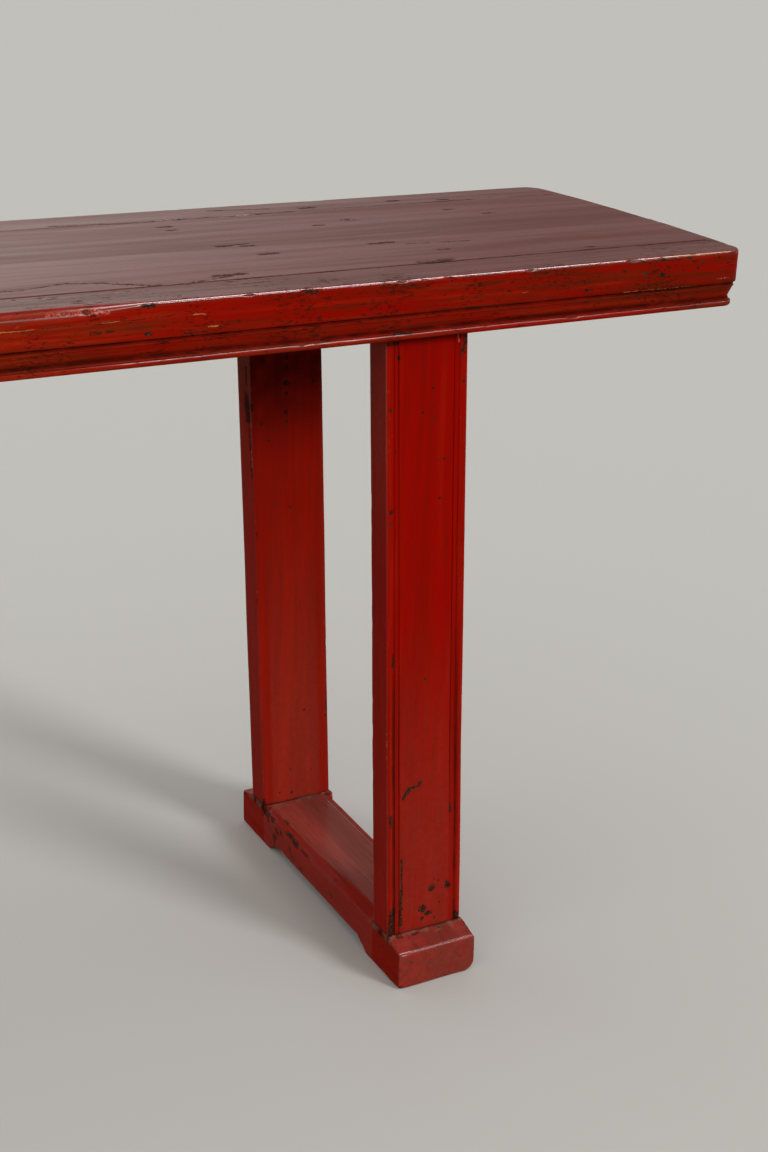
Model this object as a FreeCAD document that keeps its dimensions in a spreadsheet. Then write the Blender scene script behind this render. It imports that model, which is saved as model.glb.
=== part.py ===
import FreeCAD, Part
import math
import os
import Sketcher

# A long altar table in red lacquer. A wide board lies between two thick edge rails, and one
# moulding runs round all of them, so that they look like a single thick slab. Two pairs of
# board legs are tenoned into the edge rails, and each pair stands in a foot rail that runs
# from front to back. The legs lean outwards along the table as they go down.
# X runs along the table, Y from front to back and Z up, in millimetres.
# The origin is on the floor under the middle of the top.

DIMENSIONS = {
    # The top
    "table_length": 2160.0,
    "table_depth": 477.0,
    "table_height": 915.0,
    "edge_thickness": 69.5,
    "end_bow": 12.0,
    "corner_radius": 25.0,
    # The moulded edge: drops below the top face, and insets from the outline of the top
    "arris_radius": 4.0,
    "band_drop": 39.5,
    "band_radius": 3.0,
    "quirk_inset": 4.6,
    "quirk_height": 5.0,
    "slope_top_inset": 3.4,
    "slope_foot_inset": 8.6,
    "fillet_inset": 7.2,
    "fillet_height": 3.0,
    "bead_inset": 3.8,
    "bead_height": 8.0,
    # The edge rails and the board between them
    "rail_width": 68.0,
    "tongue_thickness": 12.0,
    "tongue_length": 10.0,
    # The short rails under the ends of the board
    "end_rail_width": 70.0,
    "end_tenon_setback": 10.0,
    "end_tenon_width": 24.0,
    "end_tenon_height": 14.0,
    "end_tenon_length": 20.0,
    # The battens that cross under the board
    "batten_width": 50.0,
    "batten_height": 24.0,
    "dovetail_neck": 36.0,
    "dovetail_head": 44.0,
    "dovetail_depth": 8.0,
    "batten_tenon_width": 36.0,
    "batten_tenon_height": 14.0,
    "batten_tenon_length": 10.0,
    # The legs
    "leg_width": 107.0,
    "leg_thickness": 41.0,
    "leg_setback": 28.0,
    "leg_end_inset": 378.0,
    "splay_angle": 1.98,
    "leg_bead_width": 9.5,
    "leg_groove_width": 2.0,
    "leg_groove_depth": 2.5,
    "leg_margin_width": 8.0,
    "leg_margin_depth": 1.6,
    # The tenons at both ends of a leg
    "tenon_width": 80.0,
    "tenon_thickness": 14.0,
    "tenon_setback": 10.0,
    "head_tenon_height": 45.0,
    "tenon_end_gap": 1.0,
    "wedge_width": 4.0,
    "wedge_height": 30.0,
    # The foot rails
    "foot_length": 486.0,
    "foot_width": 112.0,
    "foot_height": 61.0,
    "foot_end_drop": 9.0,
    "foot_pad_length": 92.0,
    "foot_arch_height": 14.5,
    "foot_arch_slope": 25.0,
    "inner_bevel_width": 17.5,
    "inner_bevel_height": 9.0,
    "outer_bevel_width": 20.0,
    "outer_bevel_height": 13.0,
    "foot_sole_radius": 10.0,
    # Fits and cuts
    "joint_clearance": 0.1,
    "overrun": 5.0,
}

# The battens, and where they lie as shares of the way from the middle to the legs
BATTEN_NAMES = ("batten_left", "batten_mid_left", "batten_centre", "batten_mid_right", "batten_right")
BATTEN_SHARES = (-1.0, -0.5, 0.0, 0.5, 1.0)
# Where the two wedges stand in a foot tenon, as shares of its width from its middle
WEDGE_SHARES = (-0.25, 0.25)

LEFT, RIGHT = -1, 1
FRONT, REAR = -1, 1
SIDE_NAMES = {LEFT: "left", RIGHT: "right"}
FACE_NAMES = {FRONT: "front", REAR: "rear"}


class Size:
    """A length, angle or ratio: its number, and the sheet formula that gives the same number."""

    def __init__(self, number, formula):
        self.number = number
        self.formula = formula

    def __add__(self, other):
        other = as_size(other)
        return Size(self.number + other.number, f"({self.formula} + {other.formula})")

    def __sub__(self, other):
        other = as_size(other)
        return Size(self.number - other.number, f"({self.formula} - {other.formula})")

    def __mul__(self, other):
        other = as_size(other)
        return Size(self.number * other.number, f"({self.formula} * {other.formula})")

    def __truediv__(self, other):
        other = as_size(other)
        return Size(self.number / other.number, f"({self.formula} / {other.formula})")

    def __neg__(self):
        return self * -1


def as_size(value):
    """A plain number becomes a size that the sheet doesn't move."""
    return value if isinstance(value, Size) else Size(float(value), repr(float(value)))


def square_root(value):
    return Size(math.sqrt(value.number), f"sqrt({value.formula})")


def tangent_of(angle):
    return Size(math.tan(math.radians(angle.number)), f"tan({angle.formula} * 1 deg)")


def arc_radius(chord, rise):
    """The radius of the arc that rises so far over its chord."""
    return (chord * chord / 4 + rise * rise) / (rise * 2)


doc = FreeCAD.newDocument("altar_table")
sheet = doc.addObject("Spreadsheet::Sheet", "Sizes")
sizes = {}
for row, (alias, number) in enumerate(DIMENSIONS.items(), start=1):
    sheet.set(f"A{row}", alias)
    sheet.set(f"B{row}", str(number))
    sheet.setAlias(f"B{row}", alias)
    sizes[alias] = Size(number, f"Sizes.{alias}")
doc.recompute()


def size(alias):
    return sizes[alias]


# Places that several pieces share
half_length = size("table_length") / 2
half_depth = size("table_depth") / 2
top_level = size("table_height")
underside = top_level - size("edge_thickness")
board_underside = top_level - size("band_drop")
rail_inner_face = half_depth - size("rail_width")
clearance = size("joint_clearance")
overrun = size("overrun")
lean = tangent_of(size("splay_angle"))
leg_height = underside - size("foot_height")
leg_middle_at_top = half_length - size("leg_end_inset") - size("leg_width") / 2
leg_middle_at_foot = leg_middle_at_top + leg_height * lean
leg_middle_depth = half_depth - size("leg_setback") - size("leg_thickness") / 2
tenon_middle_depth = half_depth - size("leg_setback") - size("tenon_setback") - size("tenon_thickness") / 2


def bind(item, path, value):
    item.setExpression(path, value.formula)


def new_body(label):
    body = doc.addObject("PartDesign::Body", label)
    body.Label = label
    return body


def sketch_on(body, name, role, offset):
    """A sketch on one of the body's own planes, moved out along that plane's normal."""
    sketch = body.newObject("Sketcher::SketchObject", name)
    plane = next(item for item in body.Origin.OriginFeatures if item.Role == role)
    sketch.AttachmentSupport = (plane, "")
    sketch.MapMode = "FlatFace"
    bind(sketch, "AttachmentOffset.Base.z", as_size(offset))
    return sketch


def arc_between(start, end, radius, turn):
    """The short arc of this radius from start to end, turning left (1) or right (-1)."""
    chord = end - start
    middle = (start + end) * 0.5
    rise = math.sqrt(max(radius * radius - chord.Length * chord.Length / 4, 0))
    aside = FreeCAD.Vector(-chord.y, chord.x, 0)
    aside.normalize()
    centre = middle + aside * (rise * turn)
    first, last = (start, end) if turn > 0 else (end, start)
    angles = [math.atan2(place.y - centre.y, place.x - centre.x) for place in (first, last)]
    return Part.ArcOfCircle(Part.Circle(centre, FreeCAD.Vector(0, 0, 1), radius), *angles)


def draw_outline(sketch, corners, arcs=None):
    """Draws a closed outline and ties its corners and radii to the sheet.

    Corners are pairs of sizes. Edges are straight, apart from those that arcs lists by the
    number of the corner they leave, each with its radius and the way it turns.
    """
    arcs = arcs or {}
    first = sketch.GeometryCount
    places = [FreeCAD.Vector(as_size(across).number, as_size(up).number, 0) for across, up in corners]
    for index, start in enumerate(places):
        end = places[(index + 1) % len(places)]
        if index in arcs:
            radius, turn = arcs[index]
            sketch.addGeometry(arc_between(start, end, radius.number, turn))
        else:
            sketch.addGeometry(Part.LineSegment(start, end))
    for index, (across, up) in enumerate(corners):
        edge = first + index
        following = first + (index + 1) % len(corners)
        start, end = vertex_numbers(arcs.get(index))
        next_start = vertex_numbers(arcs.get((index + 1) % len(corners)))[0]
        sketch.addConstraint(Sketcher.Constraint("Coincident", edge, end, following, next_start))
        for kind, value in (("DistanceX", as_size(across)), ("DistanceY", as_size(up))):
            constraint = Sketcher.Constraint(kind, -1, 1, edge, start, value.number)
            bind(sketch, f"Constraints[{sketch.addConstraint(constraint)}]", value)
        if index in arcs:
            radius = arcs[index][0]
            constraint = Sketcher.Constraint("Radius", edge, radius.number)
            bind(sketch, f"Constraints[{sketch.addConstraint(constraint)}]", radius)


def vertex_numbers(arc):
    """Which of an edge's two ends comes first on the way round: an arc is stored turning left."""
    return (2, 1) if arc and arc[1] < 0 else (1, 2)


def rectangle(left, right, bottom, top):
    return [(left, bottom), (right, bottom), (right, top), (left, top)]


def pad(body, sketch, length, slant=None, both_ways=False):
    """Raises a sketch into a solid, square to it, both ways from it or along a slant."""
    feature = body.newObject("PartDesign::Pad", sketch.Name + "_pad")
    feature.Profile = sketch
    feature.Midplane = both_ways
    set_slant(feature, slant)
    bind(feature, "Length", length)
    doc.recompute()
    return feature


def pocket(body, sketch, length, slant=None, both_ways=False, backwards=False):
    """Cuts a sketch out of the body, and stops if that cuts nothing."""
    before = body.Shape.Volume
    feature = body.newObject("PartDesign::Pocket", sketch.Name + "_pocket")
    feature.Profile = sketch
    feature.Midplane = both_ways
    feature.Reversed = backwards
    set_slant(feature, slant)
    bind(feature, "Length", length)
    doc.recompute()
    if not body.Shape.Volume < before:
        raise RuntimeError(f"{feature.Label} cuts nothing")
    return feature


def set_slant(feature, slant):
    """Lets a pad or pocket run along X times the slant for each step along Z."""
    if slant is None:
        return
    sideways, upwards = slant
    feature.UseCustomVector = True
    feature.AlongSketchNormal = True
    feature.Direction = FreeCAD.Vector(sideways.number, 0, upwards)
    bind(feature, "Direction.x", sideways)


def make_moulding_cutter():
    """All that lies outside the moulded edge, as one ring round the top."""
    body = new_body("moulding_cutter")
    radius = size("corner_radius")
    bow = arc_radius(size("table_depth"), size("end_bow"))
    bow_middle = half_length - bow
    corner_depth = half_depth - radius
    corner_middle = bow_middle + square_root((bow - radius) * (bow - radius) - corner_depth * corner_depth)
    reach_share = bow / (bow - radius)
    end_across = bow_middle + (corner_middle - bow_middle) * reach_share
    end_up = corner_depth * reach_share
    path = sketch_on(body, "outline_of_top", "XY_Plane", top_level)
    draw_outline(path, [
        (0, -half_depth), (corner_middle, -half_depth),
        (end_across, -end_up), (end_across, end_up),
        (corner_middle, half_depth), (-corner_middle, half_depth),
        (-end_across, end_up), (-end_across, -end_up),
        (-corner_middle, -half_depth),
    ], {1: (radius, 1), 2: (bow, 1), 3: (radius, 1), 5: (radius, 1), 6: (bow, 1), 7: (radius, 1)})
    face = -half_depth
    outside = face - size("end_bow") - radius - overrun * 2
    band_foot = board_underside
    slope_top = band_foot - size("quirk_height")
    bead_top = underside + size("bead_height")
    slope_foot = bead_top + size("fillet_height")
    bead = arc_radius(size("bead_height"), size("fillet_inset") - size("bead_inset"))
    section = sketch_on(body, "moulding_section", "YZ_Plane", 0)
    draw_outline(section, [
        (outside, top_level + overrun),
        (face + size("arris_radius"), top_level + overrun),
        (face + size("arris_radius"), top_level),
        (face, top_level - size("arris_radius")),
        (face, band_foot + size("band_radius")),
        (face + size("band_radius"), band_foot),
        (face + size("quirk_inset"), band_foot),
        (face + size("quirk_inset"), slope_top),
        (face + size("slope_top_inset"), slope_top),
        (face + size("slope_foot_inset"), slope_foot),
        (face + size("fillet_inset"), slope_foot),
        (face + size("fillet_inset"), bead_top),
        (face + size("fillet_inset"), underside),
        (face + size("fillet_inset"), underside - overrun),
        (outside, underside - overrun),
    ], {2: (size("arris_radius"), 1), 4: (size("band_radius"), 1), 11: (bead, 1)})
    doc.recompute()
    sweep = body.newObject("PartDesign::AdditivePipe", "moulding_sweep")
    sweep.Profile = section
    sweep.Spine = (path, [f"Edge{number + 1}" for number in range(path.GeometryCount)])
    doc.recompute()
    return body


def mould(label, blank, cutter):
    """The piece that is left when the moulded edge is cut on its blank."""
    piece = doc.addObject("Part::Cut", label)
    piece.Label = label
    piece.Base = blank
    piece.Tool = cutter
    return piece


def make_edge_rail(face, cutter):
    """A thick rail along the front or rear edge, grooved for the board and mortised for the rest."""
    name = FACE_NAMES[face]
    body = new_body(f"{name}_edge_blank")
    inner = rail_inner_face * face
    outer = (half_depth + overrun) * face
    groove_bed = (rail_inner_face + size("tongue_length") + clearance) * face
    groove_middle = (top_level + board_underside) / 2
    groove_half = size("tongue_thickness") / 2 + clearance
    section = sketch_on(body, f"{name}_edge_section", "YZ_Plane", 0)
    draw_outline(section, [
        (outer, underside), (inner, underside),
        (inner, groove_middle - groove_half), (groove_bed, groove_middle - groove_half),
        (groove_bed, groove_middle + groove_half), (inner, groove_middle + groove_half),
        (inner, top_level), (outer, top_level),
    ])
    pad(body, section, size("table_length") + overrun * 2, both_ways=True)

    # A sketch on this plane looks along its normal towards the front
    batten_cuts = sketch_on(body, f"{name}_batten_mortises", "XZ_Plane", -inner)
    for share in BATTEN_SHARES:
        draw_outline(batten_cuts, grown(batten_tenon_outline(leg_middle_at_top * share)))
    pocket(body, batten_cuts, size("batten_tenon_length") + clearance, backwards=face == FRONT)

    end_cuts = sketch_on(body, f"{name}_end_mortises", "XZ_Plane", -inner)
    for side in (LEFT, RIGHT):
        draw_outline(end_cuts, grown(end_tenon_outline(side)))
    pocket(body, end_cuts, size("end_tenon_length") + clearance, backwards=face == FRONT)

    for side in (LEFT, RIGHT):
        cut = sketch_on(body, f"{name}_{SIDE_NAMES[side]}_leg_mortise", "XY_Plane", underside)
        draw_outline(cut, grown(leg_tenon_outline(leg_middle_at_top * side, tenon_middle_depth * face)))
        pocket(body, cut, size("head_tenon_height") + clearance, slant=(lean * -side, 1))
    return mould(f"{name}_edge_rail", body, cutter)


def ordered(first, last):
    """The two sizes, the smaller one first."""
    return (first, last) if first.number < last.number else (last, first)


def grown(corners):
    """A rectangle's corners moved out by the clearance, for the mortise round a tenon."""
    (left, bottom), _, (right, top), _ = corners
    return rectangle(left - clearance, right + clearance, bottom - clearance, top + clearance)


def batten_tenon_outline(middle):
    half_width = size("batten_tenon_width") / 2
    half_height = size("batten_tenon_height") / 2
    level = board_underside - size("batten_height") / 2
    return rectangle(middle - half_width, middle + half_width, level - half_height, level + half_height)


def end_tenon_outline(side):
    inner = half_length - size("end_rail_width") + size("end_tenon_setback")
    left, right = ordered(inner * side, (inner + size("end_tenon_width")) * side)
    half_height = size("end_tenon_height") / 2
    level = (board_underside + underside) / 2
    return rectangle(left, right, level - half_height, level + half_height)


def leg_tenon_outline(across, along):
    half_width = size("tenon_width") / 2
    half_thickness = size("tenon_thickness") / 2
    return rectangle(across - half_width, across + half_width, along - half_thickness, along + half_thickness)


def dovetail_outline(middle, room):
    """The housing or the rib in it, widest at its top, with so much room on all sides."""
    neck = size("dovetail_neck") / 2 + room
    head = size("dovetail_head") / 2 + room
    top = board_underside + size("dovetail_depth") + room
    return [(middle - neck, board_underside), (middle + neck, board_underside),
            (middle + head, top), (middle - head, top)]


def make_board(cutter):
    """The wide board, with a tongue along both edges and dovetail housings across its underside."""
    body = new_body("centre_board_blank")
    tongue_edge = rail_inner_face + size("tongue_length")
    tongue_middle = (top_level + board_underside) / 2
    tongue_half = size("tongue_thickness") / 2
    low = tongue_middle - tongue_half
    high = tongue_middle + tongue_half
    section = sketch_on(body, "board_section", "YZ_Plane", 0)
    draw_outline(section, [
        (-rail_inner_face, board_underside), (rail_inner_face, board_underside),
        (rail_inner_face, low), (tongue_edge, low), (tongue_edge, high), (rail_inner_face, high),
        (rail_inner_face, top_level), (-rail_inner_face, top_level),
        (-rail_inner_face, high), (-tongue_edge, high), (-tongue_edge, low), (-rail_inner_face, low),
    ])
    pad(body, section, size("table_length") + overrun * 2, both_ways=True)
    housings = sketch_on(body, "dovetail_housings", "XZ_Plane", 0)
    for share in BATTEN_SHARES:
        draw_outline(housings, dovetail_outline(leg_middle_at_top * share, clearance))
    pocket(body, housings, size("table_depth"), both_ways=True)
    return mould("centre_board", body, cutter)


def make_end_rail(side, cutter):
    """The short rail under an end of the board, which carries the moulding round that end."""
    name = SIDE_NAMES[side]
    body = new_body(f"{name}_end_blank")
    inner = half_length - size("end_rail_width")
    left, right = ordered(inner * side, (half_length + overrun) * side)
    section = sketch_on(body, f"{name}_end_section", "XZ_Plane", 0)
    draw_outline(section, rectangle(left, right, underside, board_underside))
    pad(body, section, rail_inner_face * 2, both_ways=True)
    tenons = sketch_on(body, f"{name}_end_tenons", "XZ_Plane", 0)
    draw_outline(tenons, end_tenon_outline(side))
    pad(body, tenons, (rail_inner_face + size("end_tenon_length")) * 2, both_ways=True)
    return mould(f"{name}_end_rail", body, cutter)


def make_batten(label, share):
    """A batten across the underside of the board, dovetailed into it and tenoned into the rails."""
    body = new_body(label)
    middle = leg_middle_at_top * share
    half_width = size("batten_width") / 2
    low = board_underside - size("batten_height")
    neck_left, neck_right, head_right, head_left = dovetail_outline(middle, as_size(0))
    section = sketch_on(body, f"{label}_section", "XZ_Plane", 0)
    draw_outline(section, [
        (middle - half_width, low), (middle + half_width, low),
        (middle + half_width, board_underside), neck_right, head_right,
        head_left, neck_left, (middle - half_width, board_underside),
    ])
    pad(body, section, rail_inner_face * 2, both_ways=True)
    tenons = sketch_on(body, f"{label}_tenons", "XZ_Plane", 0)
    draw_outline(tenons, batten_tenon_outline(middle))
    pad(body, tenons, (rail_inner_face + size("batten_tenon_length")) * 2, both_ways=True)
    return body


def leg_section(face):
    """A leg's outline from above, with a bead, a groove and a sunk margin at each edge of its face."""
    half_width = size("leg_width") / 2
    outer = size("leg_thickness") / 2 * face
    inner = -outer
    groove_bed = outer - size("leg_groove_depth") * face
    margin = outer - size("leg_margin_depth") * face
    bead_end = half_width - size("leg_bead_width")
    groove_end = bead_end - size("leg_groove_width")
    field_end = groove_end - size("leg_margin_width")
    right_edge = [(half_width, groove_bed), (bead_end, groove_bed), (groove_end, groove_bed),
                  (groove_end, margin), (field_end, margin), (field_end, outer)]
    left_edge = [(-across, up) for across, up in reversed(right_edge)]
    corners = [(half_width, inner)] + right_edge + left_edge + [(-half_width, inner)]
    bead = arc_radius(size("leg_bead_width"), size("leg_groove_depth"))
    left_bead = len(right_edge + left_edge) - 1
    return corners, {1: (bead, face), left_bead: (bead, face)}


def make_leg(side, face):
    """A board leg that leans along the table, with a tenon at its head and a wedged one at its foot."""
    label = f"leg_{FACE_NAMES[face]}_{SIDE_NAMES[side]}"
    body = new_body(label)
    bind(body, "Placement.Base.x", leg_middle_at_foot * side)
    bind(body, "Placement.Base.y", leg_middle_depth * face)
    bind(body, "Placement.Base.z", size("foot_height"))
    shaft = sketch_on(body, f"{label}_section", "XY_Plane", 0)
    draw_outline(shaft, *leg_section(face))
    pad(body, shaft, leg_height, slant=(lean * -side, 1))
    tenon_offset = (tenon_middle_depth - leg_middle_depth) * face
    head = sketch_on(body, f"{label}_head_tenon", "XY_Plane", leg_height)
    draw_outline(head, leg_tenon_outline(leg_height * lean * -side, tenon_offset))
    pad(body, head, size("head_tenon_height"), slant=(lean * -side, 1))
    foot = sketch_on(body, f"{label}_foot_tenon", "XY_Plane", 0)
    draw_outline(foot, leg_tenon_outline(as_size(0), tenon_offset))
    pad(body, foot, size("foot_height") - size("tenon_end_gap"), slant=(lean * side, -1))
    slots = sketch_on(body, f"{label}_wedge_slots", "XZ_Plane", 0)
    for share in WEDGE_SHARES:
        draw_outline(slots, wedge_outline(wedge_middle(share, side), -size("foot_height")))
    pocket(body, slots, size("table_depth"), both_ways=True)
    return body


def wedge_middle(share, side):
    """How far a wedge stands from the middle of its leg's foot tenon, which leans outwards."""
    return size("tenon_width") * share + size("foot_height") * lean * side


def wedge_outline(middle, sole):
    """A wedge from the side: its thick end is flush with the end of the tenon."""
    half_width = size("wedge_width") / 2
    low = sole + size("tenon_end_gap")
    return [(middle - half_width, low), (middle + half_width, low), (middle, low + size("wedge_height"))]


def make_foot_wedges(side):
    """The wedges that spread the ends of one frame's two foot tenons, as a group."""
    name = SIDE_NAMES[side]
    parts = []
    for face in (FRONT, REAR):
        body = new_body(f"{FACE_NAMES[face]}_{name}_wedges")
        body.AllowCompound = True
        section = sketch_on(body, f"{FACE_NAMES[face]}_{name}_wedge_section", "XZ_Plane", tenon_middle_depth * -face)
        for share in WEDGE_SHARES:
            draw_outline(section, wedge_outline(leg_middle_at_foot * side + wedge_middle(share, side), as_size(0)))
        pad(body, section, size("tenon_thickness"), both_ways=True)
        parts.append(body)
    group = doc.addObject("Part::Compound", f"foot_wedges_{name}")
    group.Label = f"foot_wedges_{name}"
    group.Links = parts
    return group


def make_foot_rail(side):
    """A foot rail from front to back, arched underneath, with its top bevelled between the legs."""
    label = f"foot_rail_{SIDE_NAMES[side]}"
    body = new_body(label)
    inner = leg_middle_at_foot - size("leg_width") / 2
    outer = inner + size("foot_width")
    half_foot = size("foot_length") / 2
    top = size("foot_height")
    end_top = top - size("foot_end_drop")
    leg_face = half_depth - size("leg_setback")
    arch_foot = half_foot - size("foot_pad_length")
    arch_top = arch_foot - size("foot_arch_slope")
    rise = size("foot_arch_height")
    profile = sketch_on(body, f"{label}_profile", "YZ_Plane", (inner + outer) / 2 * side)
    draw_outline(profile, [
        (-half_foot, 0), (-arch_foot, 0), (-arch_top, rise), (arch_top, rise), (arch_foot, 0), (half_foot, 0),
        (half_foot, end_top), (leg_face, top), (-leg_face, top), (-half_foot, end_top),
    ])
    pad(body, profile, size("foot_width"), both_ways=True)

    leg_back = leg_face - size("leg_thickness")
    for edge, name, inward in ((inner, "inner", 1), (outer, "outer", -1)):
        width = size(f"{name}_bevel_width")
        height = size(f"{name}_bevel_height")
        # The cut runs on past the arris along the slope of the bevel
        slope_run = width / height * overrun * inward
        bevel = sketch_on(body, f"{label}_{name}_bevel", "XZ_Plane", 0)
        draw_outline(bevel, [
            ((edge - slope_run) * side, top - height - overrun),
            ((edge + width * inward + slope_run) * side, top + overrun),
            ((edge - slope_run) * side, top + overrun),
        ])
        pocket(body, bevel, leg_back * 2, both_ways=True)

    bevelled = body.Tip
    sole_edges = [
        f"Edge{number}" for number, edge in enumerate(bevelled.Shape.Edges, start=1)
        if lies_along(edge, outer.number * side, 0)
    ]
    rounding = body.newObject("PartDesign::Fillet", f"{label}_worn_sole")
    rounding.Base = (bevelled, sole_edges)
    bind(rounding, "Radius", size("foot_sole_radius"))
    doc.recompute()

    for face in (FRONT, REAR):
        cut = sketch_on(body, f"{label}_{FACE_NAMES[face]}_mortise", "XY_Plane", top)
        draw_outline(cut, grown(leg_tenon_outline(leg_middle_at_foot * side, tenon_middle_depth * face)))
        pocket(body, cut, top + overrun, slant=(lean * side, -1))
    return body


def lies_along(edge, across, level):
    """Whether a straight edge runs from front to back at this place and height."""
    return all(
        math.isclose(vertex.X, across, abs_tol=overrun.number / 1000)
        and math.isclose(vertex.Z, level, abs_tol=overrun.number / 1000)
        for vertex in edge.Vertexes
    )


def make_table():
    """Every piece of the table, in the order in which it would be put together."""
    cutter = make_moulding_cutter()
    pieces = [make_foot_rail(side) for side in (LEFT, RIGHT)]
    pieces += [make_leg(side, face) for side in (LEFT, RIGHT) for face in (FRONT, REAR)]
    pieces += [make_foot_wedges(side) for side in (LEFT, RIGHT)]
    pieces += [make_edge_rail(face, cutter) for face in (FRONT, REAR)]
    pieces += [make_batten(label, share) for label, share in zip(BATTEN_NAMES, BATTEN_SHARES)]
    pieces += [make_end_rail(side, cutter) for side in (LEFT, RIGHT)]
    pieces.append(make_board(cutter))
    return pieces


def check(pieces):
    """Stops if any object failed to compute or a piece has no sound shape."""
    for item in doc.Objects:
        if "Invalid" in item.State or "Error" in item.State:
            raise RuntimeError(f"{item.Label} failed: {item.State}")
    for piece in pieces:
        if piece.Shape.isNull() or not piece.Shape.isValid():
            raise RuntimeError(f"{piece.Label} has no sound shape")


table = make_table()
doc.recompute()
check(table)
os.makedirs("parts", exist_ok=True)
for piece in table:
    piece.Shape.exportStep(f"parts/{piece.Label}.step")
    print(f"{piece.Label}: {len(piece.Shape.Solids)} solids, {piece.Shape.Volume:.0f} mm3")
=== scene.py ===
import logging
import math
from dataclasses import dataclass, field
from enum import Enum
from itertools import product
from typing import Any, Sequence

import bmesh
import bpy
import numpy as np
from mathutils import Matrix, Vector

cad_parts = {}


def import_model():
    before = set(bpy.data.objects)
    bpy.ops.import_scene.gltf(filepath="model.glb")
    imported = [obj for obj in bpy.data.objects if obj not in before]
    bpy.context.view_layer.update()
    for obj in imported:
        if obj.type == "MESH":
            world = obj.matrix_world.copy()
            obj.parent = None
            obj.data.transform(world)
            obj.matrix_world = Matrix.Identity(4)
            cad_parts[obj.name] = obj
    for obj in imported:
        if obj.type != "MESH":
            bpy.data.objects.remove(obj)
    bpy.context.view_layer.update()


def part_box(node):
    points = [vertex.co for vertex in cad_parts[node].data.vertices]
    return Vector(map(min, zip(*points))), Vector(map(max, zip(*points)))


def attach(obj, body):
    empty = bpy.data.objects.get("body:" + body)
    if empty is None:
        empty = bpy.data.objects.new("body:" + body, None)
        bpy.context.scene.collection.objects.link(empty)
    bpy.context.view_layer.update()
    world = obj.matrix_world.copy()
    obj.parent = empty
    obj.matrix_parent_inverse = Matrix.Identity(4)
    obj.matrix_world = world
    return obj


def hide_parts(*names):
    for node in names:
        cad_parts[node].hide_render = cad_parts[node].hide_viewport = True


# A long altar table in worn red lacquer. Every shape here is a closed surface made of rings of
# points, worked out as whole arrays, which the years then push in: its arrises are rubbed round,
# bitten and wavy. Lengths are in metres, X runs along the table, Y from front to back and Z up.

Array = np.ndarray
Place = tuple[float, float, float]
Socket = bpy.types.NodeSocket
log = logging.getLogger("altar_table")

# Points closer than this become one, edges shorter than the next go, and sharper turns stay sharp
MERGE_DISTANCE = 2e-6
LEAST_EDGE = 1e-6
SHARP_ANGLE = math.radians(48)
# How much of its radius the rounding of a right angle takes off the corner: the root of 2, less 1
CORNER_LOSS_SHARE = 0.41


class Side(Enum):
    """Which end of the table a piece belongs to."""

    LEFT = -1
    RIGHT = 1


class Face(Enum):
    """Which long edge of the table a piece belongs to."""

    FRONT = -1
    REAR = 1


class Corner(Enum):
    """What a corner of a section is, as how strongly it is rubbed, or gathers dirt if below zero."""

    ARRIS = 1.0
    SOFT_ARRIS = 0.4
    PLAIN = 0.0
    HOLLOW = -1.0


class Tone(Enum):
    """What shows through a mark in the lacquer."""

    DARK = "Dark marks"
    BARE = "Bare marks"
    RUBBED = "Rubbed marks"
    PALE = "Pale marks"


class Grain(Enum):
    """The axis along which the wood's grain runs."""

    LENGTHWISE = 0
    CROSSWISE = 1
    UPRIGHT = 2

    def stretch(self, share: float) -> Place:
        """Scales for a pattern that is drawn out along the grain: share along it and 1 across it."""
        return tuple(share if axis == self.value else 1.0 for axis in range(3))


def value_noise(points: Array, cell: Sequence[float], seed: int) -> Array:
    """Smooth noise: random numbers on a lattice, blended with a cubic step between lattice points.

    Args:
        points: Places, with three numbers each along the last axis.
        cell: The lattice's spacing along X, Y and Z.
        seed: Which random numbers to use.

    Returns:
        A number from 0 to 1 for each point.
    """
    table = np.random.default_rng(seed).random(4096)
    scaled = points / np.asarray(cell, float)
    base = np.floor(scaled).astype(np.int64)
    part = scaled - base
    part = part * part * (3 - 2 * part)
    total = np.zeros(points.shape[:-1])
    for corner in product((0, 1), repeat=3):
        place = base + np.array(corner)
        mixed = place[..., 0] * 73856093 ^ place[..., 1] * 19349663 ^ place[..., 2] * 83492791
        weight = np.where(np.array(corner) == 1, part, 1 - part).prod(axis=-1)
        total += weight * table[mixed % len(table)]
    return total


def smooth_step(low: float, high: float, values: Array) -> Array:
    """Rises from 0 at low to 1 at high along 3 t^2 - 2 t^3, for each of the values."""
    share = np.clip((values - low) / (high - low), 0, 1)
    return share * share * (3 - 2 * share)


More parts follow.
